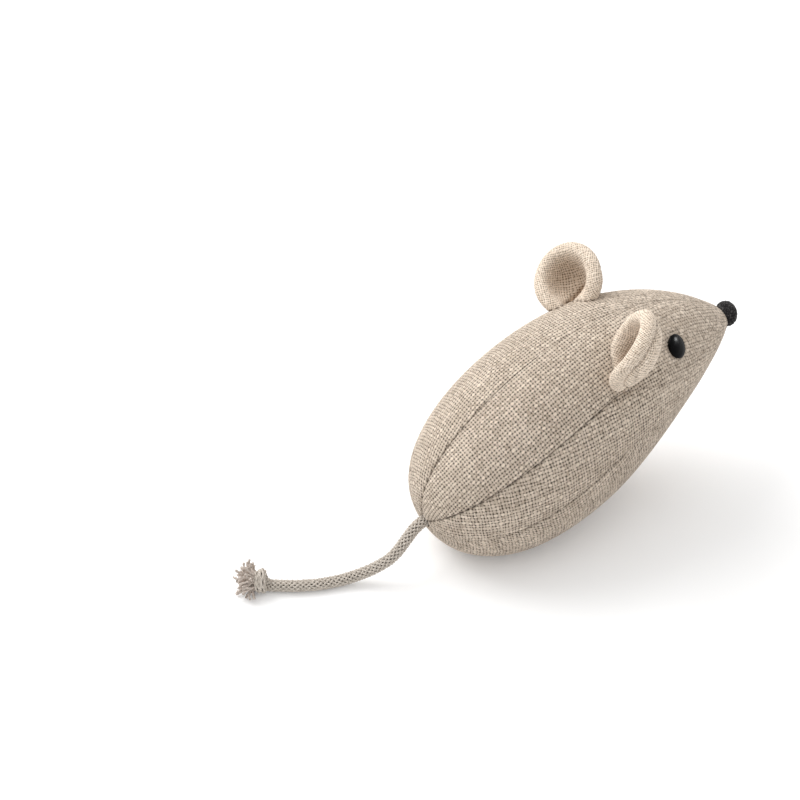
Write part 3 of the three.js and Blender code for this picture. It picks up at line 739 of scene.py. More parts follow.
# A flat grid of whole threads, with some cells to each thread
def clothGrid(low, high, fine):
    step = np.array((weave["along"], weave["across"])) / fine
    first = np.floor(np.array(low) / (step * fine)) * fine
    last = np.ceil(np.array(high) / (step * fine)) * fine
    cells = (last - first).astype(int)
    bm = bmesh.new()
    bmesh.ops.create_grid(bm, x_segments=int(cells[0]), y_segments=int(cells[1]), size=0.5)
    bmesh.ops.translate(bm, verts=bm.verts, vec=(0.5, 0.5, 0))
    bmesh.ops.scale(bm, verts=bm.verts, vec=(cells[0] * step[0], cells[1] * step[1], 1))
    bmesh.ops.translate(bm, verts=bm.verts, vec=(first[0] * step[0], first[1] * step[1], 0))
    return bm


# Trims a cloth grid: faces wholly outside go, and the places of the verts that are left come back
def trimCloth(bm, outside):
    for vert, out in zip(bm.verts, outside):
        vert.tag = bool(out)
    spare = [face for face in bm.faces if all(vert.tag for vert in face.verts)]
    bmesh.ops.delete(bm, geom=spare, context="FACES")
    loose = [vert for vert in bm.verts if not vert.link_faces]
    bmesh.ops.delete(bm, geom=loose, context="VERTS")
    return placesOf(bm.verts)


def storeWeave(mesh, threads, values):
    corner = np.zeros(len(mesh.loops), dtype=np.int32)
    mesh.loops.foreach_get("vertex_index", corner)
    mesh.uv_layers.new(name="weave").data.foreach_set("uv", threads[corner].astype(np.float32).ravel())
    for name, value in values.items():
        mesh.attributes.new(name, "FLOAT", "POINT").data.foreach_set("value", value.astype(np.float32))


# Gives a cloth its thickness and says what size it was cut to
def cutFrom(piece, flat, fine, filling):
    thick = piece.modifiers.new("thickness", "SOLIDIFY")
    thick.thickness = seams["cloth"]
    thick.offset = -1
    size = np.ptp(flat, axis=0)
    area = len(piece.data.polygons) * weave["along"] * weave["across"] / fine**2
    print("cut from", [round(float(side) / mm) for side in size[:2]], "mm,", round(area / mm**2), "mm2")
    return piece


# Panels of the toy's left side, which the right side mirrors. The belly joins the two lower seams
panels = {
    "back": {
        "seams": ("top", "side"), "grain": 26 * degree, "turn": 0.0,
        "seeds": {"Left": 1, "Right": 41}, "loose": 1, "broken": 0.1, "fine": 3,
    },
    "flank": {
        "seams": ("side", "lower"), "grain": 71 * degree, "turn": 14 * degree,
        "seeds": {"Left": 11, "Right": 31}, "loose": 1.25, "broken": 0.6, "fine": 3,
    },
    "belly": {
        "seams": ("lower", "lower"), "grain": math.pi, "turn": 0.0,
        "seeds": {"": 21}, "loose": 1.25, "broken": 0.6, "fine": 2,
    },
}


# The angles of a panel's two edges along the body, and how clearly their seams show there
def panelEdges(spec, mirror, run):
    low, high = (seamAngle(seam, run) for seam in spec["seams"])
    lowShows, highShows = (seamShows(seam, run) for seam in spec["seams"])
    if spec["seams"][0] == spec["seams"][1]:
        high = fullTurn - high
    if mirror < 0:
        return (-high, -low), (highShows, lowShows)
    return (low, high), (lowShows, highShows)


def makePanel(name, spec, sideName):
    mirror = -1 if sideName == "Right" else 1
    grain, turn = mirror * spec["grain"], mirror * spec["turn"]
    run = np.linspace(0, skinLength, 300)
    low, high = (girth(run) * (angle - grain) for angle in panelEdges(spec, mirror, run)[0])
    corners = turnFlat(np.vstack([np.stack([run, edge], 1) for edge in (low, high)]), -turn)
    bm = clothGrid(corners.min(0), corners.max(0), spec["fine"])

    def edges(at):
        return np.interp(at, run, low), np.interp(at, run, high)

    def hem(at):
        return seams["turnedIn"] * smoothRamp(girth(at), seams["hemFrom"], seams["hemTo"])

    at, off = turnFlat(placesOf(bm.verts), turn).T
    lowest, highest = edges(at)
    flat = trimCloth(bm, (at < 0) | (at > skinLength) | (off < lowest - hem(at)) | (off > highest + hem(at)))
    at, off = turnFlat(flat, turn).T
    at = np.clip(at, 0, skinLength)
    lowest, highest = edges(at)
    beyond = np.maximum(lowest - off, off - highest)
    fold = np.clip(beyond - seams["snap"], 0, hem(at))
    nearest = np.where(off < (lowest + highest) / 2, lowest, highest)
    off = np.where(np.abs(beyond) < seams["snap"], nearest, off)
    off = np.clip(off, lowest + seams["slit"], highest - seams["slit"])
    around = grain + off / girth(at)
    lowShows, highShows = panelEdges(spec, mirror, at)[1]
    lowDip, lowLine = seamDip(off - lowest, lowShows, at)
    highDip, highLine = seamDip(highest - off, highShows, at)
    onHead = smoothRamp(alongAxis(at), weave["headFrom"], weave["headTo"])
    loose = spec["loose"] + (weave["headLoose"] - spec["loose"]) * onHead
    broken = spec["broken"] + (1 - spec["broken"]) * onHead
    threads = threadPlaces(flat, spec["seeds"][sideName], loose)
    dip = np.maximum(lowDip, highDip) + eyeDip(skinPoint(at, around)) - swellAt(at, around)
    putOn(bm, skinPoint(at, around, np.maximum(dip, -cover["most"]) - threadLift(threads) + fold))
    piece = showPiece(name, bm, linenMaterial)
    storeWeave(piece.data, threads, {"seam": np.maximum(lowLine, highLine), "broken": broken})
    return cutFrom(piece, flat, spec["fine"], "stuffingWad")


panelOrder = [("back", "Left"), ("flank", "Left"), ("belly", ""), ("flank", "Right"), ("back", "Right")]
for panelPart, sideName in panelOrder:
    made = makePanel(panelPart + "Panel" + sideName, panels[panelPart], sideName)
    print("panel sewn:", made.name, len(made.data.polygons), "faces")


# Ears: a padded dish of two cloths, folded about its rising line, tightly at its base
ears = {
    "halfWidth": 10.9 * mm, "halfHeight": 11.7 * mm, "rimRise": 1.9 * mm, "rim": 2.3 * mm,
    "seamAngle": -80 * degree, "floorReach": 5.5 * mm, "wallReach": 3 * mm, "turnedIn": 1.2 * mm,
    "foldAside": 1.5 * mm, "tipFold": 40 * mm, "overlapWidth": 4 * mm,
    "fine": 4, "finer": 1.3, "loose": 1.5, "broken": 0.5,
    # the seam behind the rim shows above, and below it strays from the rim
    "rimShows": 0.35, "strayShows": 0.6, "seamStrays": 2.6 * mm, "straysFrom": 0.05, "straysTo": 0.6,
    # where the ear is sewn into the head, by its height over the skin: a dark stitched line that is also
    # painted shade where the ear meets the head
    "sewnSeamAndShade": 0.85, "sewnAt": 0.4 * mm, "sewnWidth": 0.5 * mm, "sewnStitch": 0.4 * mm,
    "cutBelow": 1.2 * mm,
    "crease": {
        "top": (-2.7 * mm, -0.8 * mm), "foot": (1.9 * mm, -7.2 * mm), "wide": 1.9 * mm,
        "narrow": 0.55 * mm, "ridge": 0.4, "ridgeAt": 2.2 * mm, "ridgeWide": 1.2 * mm,
        # the last two set how deep the crease must be before it is painted in shade
        "fadesFrom": 0.72, "creaseShadeFrom": 0.3 * mm, "creaseShadeTo": 1.6 * mm,
    },
    # in each pose, the last line places the painted shade in the lining's hollow: its centre, strength and
    # fade
    "poses": {
        "Left": {
            "seed": 51, "side": 1, "seat": 74.3 * mm, "around": 42 * degree, "lift": 6.5 * mm,
            "raise": 42 * degree, "turn": 18 * degree, "roll": 38 * degree, "baseFold": 6.7 * mm,
            "cup": 4.3 * mm, "padding": 2.2 * mm, "pinch": 1.8 * mm, "overlap": 0.0, "hang": 1.0,
            "hollowShadeAt": (1.5 * mm, 3 * mm), "hollowShadeStrength": 0.63, "hollowShadeFrom": 1 * mm, "hollowShadeTo": 10.5 * mm,
        },
        "Right": {
            "seed": 61, "side": -1, "seat": 69.8 * mm, "around": 35.4 * degree, "lift": 9.2 * mm,
            "raise": 26.6 * degree, "turn": 30 * degree, "roll": -23.7 * degree, "baseFold": 8.5 * mm,
            "cup": 5.8 * mm, "padding": 1.3 * mm, "pinch": 0.0, "overlap": 1.4 * mm, "hang": 1.14,
            "hollowShadeAt": (-0.5 * mm, -4 * mm), "hollowShadeStrength": 1.3, "hollowShadeFrom": 4 * mm, "hollowShadeTo": 12 * mm,
        },
    },
}
earTall = ears["halfHeight"] / ears["halfWidth"]
earPaint = {
    # gap is painted shade in the weave's holes and outline the painted shade at thread crossings, as on the
    # body
    "light": paint(252, 237, 220), "mid": paint(226, 208, 188), "gap": paint(118, 100, 80),
    # deep is painted shade, warm and dark, multiplied into the lining's hollow and crease
    "seam": paint(64, 50, 37), "deep": paint(150, 126, 98), "outline": 0.35,
}
earMaterial = linenFinish("earLinen", earPaint)


# Half of the dish's section, from its middle to the seam behind the rolled rim and on into the hem
def earCurve(form, pose, isLining, steps=60):
    crest = form["halfWidth"] - form["rim"]
    low, high = -pose["cup"], form["rimRise"]
    turn = np.linspace(math.pi / 2, form["seamAngle"], steps)
    roll = np.stack([crest + form["rim"] * np.cos(turn), high + form["rim"] * (np.sin(turn) - 1)], 1)
    if isLining:
        bowl = bezier((0, low), (form["floorReach"], low), (crest - form["wallReach"], high), (crest, high))
        points = np.vstack([bowl, roll[1:]])
    else:
        quarter = np.linspace(0, math.pi / 2, steps)
        deep = low - pose["padding"]
        across, rise = roll[-1]
        points = np.stack([across * np.sin(quarter), rise + (deep - rise) * np.cos(quarter)], 1)
    seamRun = arcRun(points)[-1]
    inward = np.array((crest, high - form["rim"])) - roll[-1]
    points = np.vstack([points, roll[-1] + inward / form["rim"] * form["turnedIn"]])
    return arcRun(points), points, seamRun


def earAxes(pose):
    side = pose["side"]
    point, outward = skinFrame(pose["seat"], side * pose["around"])
    turn = pose["turn"]
    facing = Vector((-math.cos(turn), -side * math.sin(turn), math.tan(pose["raise"]))).normalized()
    rising = (Vector((0, 0, 1)) - facing.z * facing).normalized()
    rising.rotate(Matrix.Rotation(side * pose["roll"], 3, facing))
    return point + outward * pose["lift"], facing.cross(rising), facing, rising


# How far from the middle of the flat cloth a point lies, as if the ear were round
def earReach(flat):
    return np.maximum(np.hypot(flat[:, 0], flat[:, 1] / earTall), 1e-9)


# Where a point of the flat cloth comes to lie in the dish, before the fold
def dishSpot(flat, curve):
    run, points = curve[:2]
    reach = earReach(flat)
    share = np.interp(reach, run, points[:, 0]) / reach
    return flat[:, 0] * share, np.interp(reach, run, points[:, 1]), flat[:, 1] * share


def earPlaces(flat, curve, pose, isLining):
    x, depth, z = dishSpot(flat, curve)
    if isLining:
        depth = depth - earCrease(x, z, pose)
    return foldEar(x, depth, z, pose)


# The pinch that runs down the hollow to the ear's base, with a soft ridge beside it
def earCrease(x, z, pose):
    form = ears["crease"]
    top, foot = np.array(form["top"]), np.array(form["foot"])
    length = np.linalg.norm(foot - top)
    aim = (foot - top) / length
    over, down = pose["side"] * x - top[0], z - top[1]
    along = (over * aim[0] + down * aim[1]) / length
    aside = over * aim[1] - down * aim[0]
    groove = np.exp(-((aside / np.where(aside < 0, form["wide"], form["narrow"])) ** 2))
    ridge = np.exp(-(((aside - form["ridgeAt"]) / form["ridgeWide"]) ** 2))
    rim = ears["halfWidth"] - ears["rim"]
    inside = 1 - smoothRamp(np.hypot(x, z / earTall), form["fadesFrom"] * rim, rim)
    shows = smoothRamp(along, -0.4, 0.4) * inside
    return pose["pinch"] * shows * (groove - form["ridge"] * ridge)


# Folds the dish and sets it on the head
def foldEar(x, y, z, pose):
    form = ears
    aside = -pose["side"] * form["foldAside"]
    z = np.where(z < 0, z * pose["hang"], z)
    low = 1 - np.clip((z / form["halfHeight"] + 1) / 2, 0, 1)
    curl = 1 / form["tipFold"] + (1 / pose["baseFold"] - 1 / form["tipFold"]) * low**2
    bend = curl * (x - aside)
    lapped = smoothRamp(-z / form["halfHeight"], 0.1, 0.9) * np.tanh(pose["side"] * x / form["overlapWidth"])
    arm = 1 / curl - (y + pose["overlap"] * lapped)
    x, y = aside + arm * np.sin(bend), 1 / curl - arm * np.cos(bend)
    centre, across, facing, rising = (np.array(axis) for axis in earAxes(pose))
    return centre + x[:, None] * across + y[:, None] * facing + z[:, None] * rising


# Raises a cloth off the surface that a function gives for its flat places
def raiseCloth(place, flat, lift):
    step = 0.04 * mm
    here = place(flat)
    normal = np.cross(place(flat + (step, 0)) - here, place(flat + (0, step)) - here)
    normal /= np.maximum(np.linalg.norm(normal, axis=1, keepdims=True), 1e-12)
    return here + normal * lift[:, None]


def largestPart(bm):
    rest, parts = set(bm.faces), []
    while rest:
        reached = {rest.pop()}
        part = set(reached)
        while reached:
            reached = {face for here in reached for edge in here.edges for face in edge.link_faces} & rest
            rest -= reached
            part |= reached
        parts.append(part)
    return max(parts, key=len)


# Cuts off the faces on spare verts and what would then hang by a corner or lie loose, and says which
# verts are left
def cutAway(bm, isSpare):
    source = bm.verts.layers.int.new("source")
    for index, vert in enumerate(bm.verts):
        vert[source] = index
    spare = [face for face in bm.faces if any(isSpare[vert[source]] for vert in face.verts)]
    while spare:
        bmesh.ops.delete(bm, geom=spare, context="FACES")
        pinched = [vert for vert in bm.verts if sum(edge.is_boundary for edge in vert.link_edges) > 2]
        spare = touching(pinched, "link_faces")
    whole = largestPart(bm)
    bmesh.ops.delete(bm, geom=[face for face in bm.faces if face not in whole], context="FACES")
    left = [vert[source] for vert in bm.verts]
    bm.verts.layers.int.remove(source)
    return left


def makeEar(name, sideName, isLining):
    pose = ears["poses"][sideName]
    curve = earCurve(ears, pose, isLining)
    run, _, seamRun = curve
    half = np.array((run[-1], run[-1] * earTall))
    bm = clothGrid(-half, half, ears["fine"])
    flat = trimCloth(bm, earReach(placesOf(bm.verts)) > run[-1])[:, :2]
    threads = threadPlaces(flat * ears["finer"], pose["seed"] + 2 * isLining, ears["loose"])
    reach = earReach(flat)
    edge = seamRun - np.minimum(reach, seamRun)
    flat = flat * np.minimum(1, run[-1] / reach)[:, None]
    around = np.arctan2(flat[:, 1], flat[:, 0]) * ears["halfWidth"]
    low = smoothRamp(-flat[:, 1] / half[1], ears["straysFrom"], ears["straysTo"])
    dip, line = seamDip(edge, ears["rimShows"] * (1 - low), around)
    if not isLining:
        lowDip, lowLine = seamDip(np.abs(edge - ears["seamStrays"] * low), ears["strayShows"] * low, around)
        dip, line = np.maximum(dip, lowDip), np.maximum(line, lowLine)

    def place(spots):
        return earPlaces(spots, curve, pose, isLining)

    facingSign = -1 if isLining else 1
    putOn(bm, raiseCloth(place, flat, facingSign * (threadLift(threads) - dip)))
    if isLining:
        bmesh.ops.reverse_faces(bm, faces=bm.faces)
    depth = aboveSkin(placesOf(bm.verts))
    # the stitched line where the ear meets the head, darkened also as painted contact shade
    ticks = 0.6 + 0.4 * np.cos(flat[:, 0] / ears["sewnStitch"])
    sewn = ears["sewnSeamAndShade"] * np.exp(-(((depth - ears["sewnAt"]) / ears["sewnWidth"]) ** 2)) * ticks
    values = {"seam": np.maximum(line, sewn), "broken": np.full(len(flat), ears["broken"])}
    # painted shade on the lining: darker and warmer towards the deep of the hollow, and in the crease
    if isLining:
        fromDeep = np.hypot(flat[:, 0] - pose["hollowShadeAt"][0], flat[:, 1] - pose["hollowShadeAt"][1])
        hollowShade = pose["hollowShadeStrength"] * (1 - smoothRamp(fromDeep, pose["hollowShadeFrom"], pose["hollowShadeTo"]))
        x, _, z = dishSpot(flat, curve)
        # painted shade in the crease, by its depth
        crease = smoothRamp(earCrease(x, z, pose), ears["crease"]["creaseShadeFrom"], ears["crease"]["creaseShadeTo"])
        values["hollowShade"] = np.maximum(hollowShade, crease)
    order = cutAway(bm, depth < -ears["cutBelow"])
    piece = showPiece(name, bm, earMaterial)
    storeWeave(piece.data, threads[order], {key: value[order] for key, value in values.items()})
    return cutFrom(piece, flat, ears["fine"], "ear_wadding_" + sideName.lower())


# Wadding between an ear's two cloths, pressed down under the crease
wadding = {"inset": 0.6 * mm, "least": 0.7 * mm, "pressedAt": 0.3 * mm, "around": 40, "down": 28}


def makeWadding(name, pose, spec, material):
    front, back = (earCurve(ears, pose, isLining)[1][:-1] for isLining in (True, False))
    loop = np.vstack([front, back[::-1]])
    aims = np.gradient(loop, arcRun(loop) + np.linspace(0, 1e-9, len(loop)), axis=0)
    inner = loop + np.stack([aims[:, 1], -aims[:, 0]], 1) * spec["inset"]
    inner[:, 0] = np.maximum(inner[:, 0], 0)
    inner[0, 0] = inner[-1, 0] = 0
    bm = bmesh.new()
    bmesh.ops.create_uvsphere(bm, u_segments=spec["around"], v_segments=spec["down"], radius=1)
    ball = placesOf(bm.verts)
    at = np.arccos(np.clip(ball[:, 2], -1, 1)) / math.pi
    around = np.arctan2(ball[:, 1], ball[:, 0])
    reach, depth = rowsAt(at, np.linspace(0, 1, len(inner)), inner).T
    x, z = reach * np.cos(around), reach * np.sin(around) * earTall
    floor = np.interp(reach, back[:, 0], back[:, 1]) + spec["least"]
    isFront = at < len(front) / len(loop)
    pressed = np.clip(earCrease(x, z, pose) / spec["pressedAt"], 0, 1)
    depth = np.where(isFront, depth + (np.minimum(floor, depth) - depth) * pressed, depth)
    putOn(bm, foldEar(x, depth, z, pose))
    bmesh.ops.recalc_face_normals(bm, faces=bm.faces)
    piece = showPiece(name, bm, material)


# Finishes of what lies inside: one grain sets the tone and the bumps
innerFinishes = {
    "fibreFill": {
        "dark": paint(214, 208, 196), "light": paint(244, 240, 232), "grain": 500.0, "detail": 5.0,
        "spread": 0.2, "strength": 0.8, "depth": 0.4 * mm, "rough": 1.0,
    },
    "muslin": {
        "dark": paint(214, 204, 186), "light": paint(238, 230, 214), "grain": 2200.0, "detail": 2.0,
        "spread": 0.15, "strength": 0.5, "depth": 0.15 * mm, "rough": 0.95,
    },
    "driedLeaf": {
        "dark": paint(70, 78, 44), "light": paint(138, 142, 92), "grain": 800.0, "detail": 4.0,
        "spread": 0.15, "strength": 1.0, "depth": 0.5 * mm, "rough": 1.0,
    },
}


def innerFinish(name):
    spec = innerFinishes[name]
    material, finish = newFinish(name)
    grain = finish.noise(finish.place(), spec["grain"], spec["detail"])
    tone = grain.ramp(0.5 - spec["spread"], 0.5 + spec["spread"])
    colour = finish.mix(tone, spec["dark"], spec["light"])
    normal = finish.bump(grain, spec["strength"], spec["depth"])
    finish.output(finish.surface(
        Base_Color=colour, Roughness=spec["rough"], Normal=normal, Specular_IOR_Level=0.1,
    ))
    return material


# Plain plastic, a little uneven in its shine
def plasticFinish(name, spec):
    material, finish = newFinish(name)
    haze = finish.noise(finish.place(), spec["grain"], 2.0).ramp(0.3, spec["patchy"], *spec["rough"])
    finish.output(finish.surface(
        Base_Color=spec["colour"], Roughness=haze, Specular_IOR_Level=spec["shine"],
    ))
    return material


def lumps(place, scale):
    return noise.fractal(place * scale, 1.0, 2.0, 3)


# A soft piece inside, from its solid, made uneven and, with cuts, finer
def makeSoft(name, material, lump, cuts=0, node=None):
    bm = bmesh.new()
    bm.from_mesh(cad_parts[node or nodeOf(name)].data)
    bmesh.ops.remove_doubles(bm, verts=bm.verts, dist=1e-6)
    if cuts:
        bmesh.ops.subdivide_edges(bm, edges=bm.edges, cuts=cuts, use_grid_fill=True)
    for vert in bm.verts:
        vert.co += Vector((1, 1, 1)) * lump * lumps(vert.co, 400)
    return showPiece(name, bm, material, node)


fibreMaterial = innerFinish("fibreFill")
muslinMaterial = innerFinish("muslin")
# Wad of fibre, open below over the pouch
makeSoft("stuffingWad", fibreMaterial, 0.2 * mm, 2, "stuffing")

# Catnip pouch: two cloths cut to one size, hemmed together round the leaf
for pouchName in ("pouchUpper", "pouchLower"):
    pouchCloth = makeSoft(pouchName, muslinMaterial, 0.0)
makeSoft("catnipFilling", innerFinish("driedLeaf"), 0.08 * mm)

# Washers on the eyes' stems, as their solids are
washerPlastic = {
    "colour": paint(226, 226, 222), "grain": 600.0, "patchy": 0.7, "rough": (0.4, 0.55), "shine": 0.5,
}
washerMaterial = plasticFinish("washerPlastic", washerPlastic)
for sideName in ("left", "right"):
    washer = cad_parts["eye_washer_" + sideName]
    washer.data.materials.clear()
    washer.data.materials.append(washerMaterial)
makeSoft("tailAnchorKnot", cordMaterial, 0.12 * mm)
print("stuffing packed")

for sideName, earPose in ears["poses"].items():
    makeWadding("earWadding" + sideName, earPose, wadding, fibreMaterial)
    makeEar("earLining" + sideName, sideName, True)
    makeEar("earBack" + sideName, sideName, False)
print("ears sewn")


# Moves a form that stands along Z onto a place and a direction
def standAt(bm, place, direction):
    turn = Vector(direction).to_track_quat("Z", "Y").to_matrix().to_4x4()
    bmesh.ops.transform(bm, matrix=Matrix.Translation(place) @ turn, verts=bm.verts)


# A closed form turned about Z from half its outline
def turnedForm(outline, steps):
    bm = bmesh.new()
    verts = [bm.verts.new((radius, 0, height)) for radius, height in outline]
    edges = [bm.edges.new(pair) for pair in zip(verts, verts[1:])]
    bmesh.ops.spin(
        bm, geom=verts + edges, cent=(0, 0, 0), axis=(0, 0, 1), angle=fullTurn, steps=steps,
        use_merge=True, use_duplicate=False,
    )
    bmesh.ops.remove_doubles(bm, verts=bm.verts, dist=1e-7)
    bmesh.ops.recalc_face_normals(bm, faces=bm.faces)
    return bm


# The eyes are black domed beads
def makeEye(name, spec, pose, material):
    dome = spec["height"] - spec["skirt"]
    quarter = np.linspace(0, math.pi / 2, 14)
    outline = [(spec["radius"] * math.sin(t), spec["skirt"] + dome * math.cos(t)) for t in quarter]
    outline += [(spec["radius"] * spec["foot"], -spec["sunk"]), (0, -spec["sunk"])]
    bm = turnedForm(outline, 48)
    point, outward = skinFrame(pose["seat"], pose["around"])
    aim = Matrix.Rotation(pose["tilt"], 3, "Z") @ Vector(outward) - Vector((0, 0, pose["nod"]))
    standAt(bm, point + outward * pose["lift"], aim.normalized())
    return showPiece(name, bm, material)


eyeMaterial = plasticFinish("blackBead", eyes["plastic"])
beads = [makeEye("eye" + sideName, eyes, eyePose, eyeMaterial) for sideName, eyePose in eyes["poses"].items()]

# Nose: a charcoal felt ball on the snout
nose = {
    "diameter": 7.9 * mm, "thick": 6 * mm, "reach": 2.1 * mm, "droop": 12 * degree, "fuzz": 0.16 * mm,
    "dark": paint(34, 33, 34), "light": paint(88, 86, 85),
}


def feltFinish(spec):
    material, finish = newFinish("charcoalFelt")
    place = finish.place()
    fibre = finish.noise(place, 2600.0, 4.0)
    clump = finish.noise(place, 700.0, 2.0)
    tone = (fibre * 0.7 + clump * 0.3).ramp(0.42, 0.68)
    normal = finish.bump(fibre, 0.9, 0.25 * mm)
    colour = finish.mix(tone, spec["dark"], spec["light"])
    finish.output(finish.surface(Base_Color=colour, Roughness=1.0, Normal=normal, Specular_IOR_Level=0.1))
    return material


def makeNose(spec):
    bm = bmesh.new()
    bmesh.ops.create_icosphere(bm, subdivisions=5, radius=spec["diameter"] / 2)
    bmesh.ops.scale(bm, verts=bm.verts, vec=(1, 1, spec["thick"] / spec["diameter"]))
    for vert in bm.verts:
        vert.co += vert.co.normalized() * lumps(vert.co, 1500) * spec["fuzz"]
    snoutTop, snoutLow = (skinPoint(np.array(skinLength), np.array(turn)) for turn in (0.0, math.pi))
    aim = np.array((math.cos(spec["droop"]), 0, -math.sin(spec["droop"])))
    standAt(bm, (snoutTop + snoutLow) / 2 + aim * spec["reach"], aim)
    return showPiece("noseBall", bm, feltFinish(spec), "nose")


makeNose(nose)
print("eyes and nose set")

# Knot at the tail's end: the cord wound nearly twice round itself and drawn tight
endKnot = {
    "gap": 0.3 * mm, "rise": 1.9 * mm, "length": 4.6 * mm, "turns": 1.9, "radius": 2.5 * mm,
    "start": 200 * degree, "tuck": 0.16, "tucked": 0.35, "from": 0.26, "over": 0.48, "spacing": 0.3 * mm,
    "braid": {
        "hands": (1, -1), "count": 6, "radius": 0.9 * mm, "lead": 24 * mm, "sides": 6, "step": 0.25 * mm,
        "wide": 0.29 * mm, "thick": 0.33 * mm, "sway": 0.14 * mm,
    },
    "core": 0.62 * mm,
}


# The raised end of the tail's route, with the directions ahead, aside and up from it
def tailEnd():
    aim = unit(tailRoute[-1] - tailRoute[-2])
    aside = unit(np.cross((0, 0, 1), aim))
    return tailRoute[-1] + (0, 0, endKnot["rise"]), aim, aside, np.cross(aim, aside)


def makeKnot(spec):
    place, aim, aside, top = tailEnd()
    share = np.linspace(0, 1, 60)[:, None]
    angle = spec["start"] + share * spec["turns"] * fullTurn
    ends = np.clip(np.minimum(share, 1 - share) / spec["tuck"], 0, 1)
    radius = spec["radius"] * (spec["tucked"] + (1 - spec["tucked"]) * np.sin(ends * math.pi / 2))
    ahead = spec["gap"] + spec["length"] * (spec["from"] + spec["over"] * share)
    path = place + aim * ahead + (aside * np.cos(angle) + top * np.sin(angle)) * radius
    bm = braidAlong(smoothPath(path, spec["spacing"]), spec)
    return showPiece("tailEndKnot", bm, cordMaterial)


tailKnot = makeKnot(endKnot)

# Tassel: the cord's yarns, combed out past the knot
tassel = {
    "yarns": 64, "start": 4.2 * mm, "root": 2.2 * mm, "rootSlope": 0.8 * mm, "spread": 94 * degree,
    "shortest": 5.2 * mm, "longest": 7.6 * mm, "outerShorter": 0.25, "angleStep": 2.39996, "jitter": 0.15,
    "wave": 0.5 * mm, "curl": 50 * degree, "steps": 9, "spacing": 0.3 * mm, "lowest": 0.65 * mm, "seed": 7,
    "yarn": {
        "hands": (1,), "count": 2, "radius": 0.17 * mm, "lead": 2.2 * mm, "sides": 6, "step": 0.3 * mm,
        "wide": 0.26 * mm, "thick": 0.24 * mm, "sway": 0.0,
    },
}


def makeTassel(spec):
    place, aim, aside, top = tailEnd()
    chance = np.random.default_rng(spec["seed"])
    whole = bmesh.new()
    for index in range(spec["yarns"]):
        share = (index + 0.5) / spec["yarns"]
        angle = index * spec["angleStep"] + chance.normal(0, spec["jitter"])
        out = aside * math.cos(angle) + top * math.sin(angle)
        lean = spec["spread"] * math.sqrt(share) + chance.normal(0, spec["jitter"])
        length = chance.uniform(spec["shortest"], spec["longest"]) * (1 - spec["outerShorter"] * share)
        reached = place + aim * (spec["start"] - spec["rootSlope"] * share)
        reached = reached + out * spec["root"] * math.sqrt(share)
        sway = np.cross(aim, out) * chance.normal(0, spec["wave"])
        sway = sway + aim * chance.normal(0, spec["wave"] / 2)
        curl = chance.normal(0, spec["curl"])
        points = []
        for t in np.linspace(0, 1, spec["steps"] + 1):
            bend = lean * (0.35 + 0.65 * t) + curl * t * t
            points.append(reached + sway * math.sin(t * 5 + index))
            reached = reached + (aim * math.cos(bend) + out * math.sin(bend)) * length / spec["steps"]
        points = np.array(points)
        points[:, 2] = np.maximum(points[:, 2], spec["lowest"])
        path = smoothPath(points, spec["spacing"])
        bm = bmesh.new()
        twistStrands(bm, spec["yarn"], pathLength(path))
        layAlong(bm, path)
        yarn = smoothMesh("yarn", bm)
        whole.from_mesh(yarn)
        bpy.data.meshes.remove(yarn)
    return showPiece("tailTassel", whole, frayMaterial)


tailTassel = makeTassel(tassel)
print("knot and tassel made")


# Stage: a white floor, a world that is brightest overhead, a soft key light from behind on the left and
# a small lamp that lights only the eyes
stage = {
    "floorHalf": 3.0, "floorWhite": 0.92, "floorGlow": 0.12, "glowFrom": 0.25, "glowTo": 0.9,
    "low": 0.52, "high": 1.0, "highFrom": 0.9,
    "key": {"place": (-0.35, 0.95, 0.95), "size": 1.1, "power": 14.2},
    "glint": {"place": (1.3, -0.15, 0.5), "size": 0.3, "power": 12.0},
}


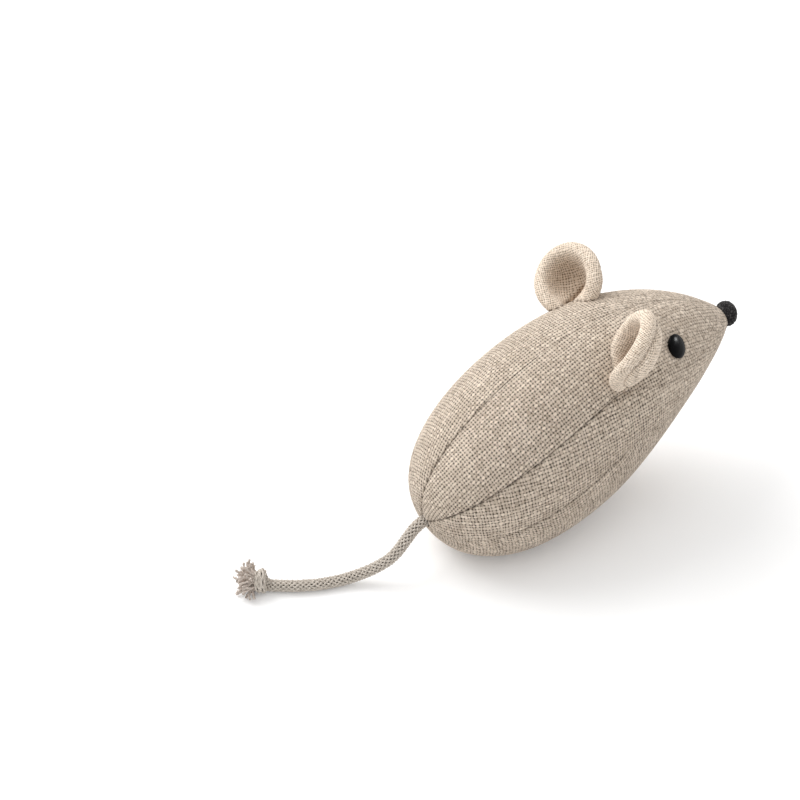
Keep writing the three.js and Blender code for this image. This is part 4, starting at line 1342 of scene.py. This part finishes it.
# Rays by which the camera sees a thing, straight on or in a reflection
def seenRays(finish):
    path = finish.node("ShaderNodeLightPath")
    return path.most(path.beside("Is Glossy Ray")).most(path.beside("Is Transmission Ray"))


def makeFloor(spec):
    bm = bmesh.new()
    bmesh.ops.create_grid(bm, x_segments=1, y_segments=1, size=spec["floorHalf"])
    material, finish = newFinish("studioFloor")
    white = spec["floorWhite"]
    lit = finish.node("ShaderNodeBsdfDiffuse", None, {"Color": (white, white, white, 1)})
    away = finish.node("ShaderNodeVectorMath", {"operation": "LENGTH"}, {0: finish.place()}, 1)
    strength = seenRays(finish) * away.ramp(spec["glowFrom"], spec["glowTo"], spec["floorGlow"], 1.0)
    glow = finish.node("ShaderNodeEmission", None, {"Strength": strength})
    finish.output(finish.node("ShaderNodeAddShader", None, (lit, glow)))
    floor = addObject("floor", smoothMesh("floor", bm))
    floor.data.materials.append(material)


def makeWorld(spec):
    world = bpy.data.worlds.new("studio")
    world.use_nodes = True
    bpy.context.scene.world = world
    finish = Finish(world.node_tree)
    height = finish.node("ShaderNodeSeparateXYZ", None, {0: finish.node("ShaderNodeTexCoord")}, 2)
    rise = height.ramp(0.0, spec["highFrom"], spec["low"], spec["high"])
    lit, seen = (
        finish.node("ShaderNodeBackground", None, {"Color": (1, 1, 1, 1), "Strength": strength})
        for strength in (rise, 1.0)
    )
    both = finish.node("ShaderNodeMixShader", None, (seenRays(finish), lit, seen))
    finish.output(both, "ShaderNodeOutputWorld")


def makeLight(name, spec):
    data = bpy.data.lights.new(name, "AREA")
    data.size = spec["size"]
    data.energy = spec["power"]
    lamp = addObject(name, data)
    lamp.location = spec["place"]
    lamp.rotation_euler = (-Vector(spec["place"])).to_track_quat("-Z", "Y").to_euler()
    return lamp


makeFloor(stage)
makeWorld(stage)
makeLight("key", stage["key"])
glossy = bpy.data.collections.new("glossy")
for eye in beads:
    glossy.objects.link(eye)
makeLight("glint", stage["glint"]).light_linking.receiver_collection = glossy
bpy.context.scene.view_settings.view_transform = "Standard"
print("stage lit")

bpy.context.view_layer.update()
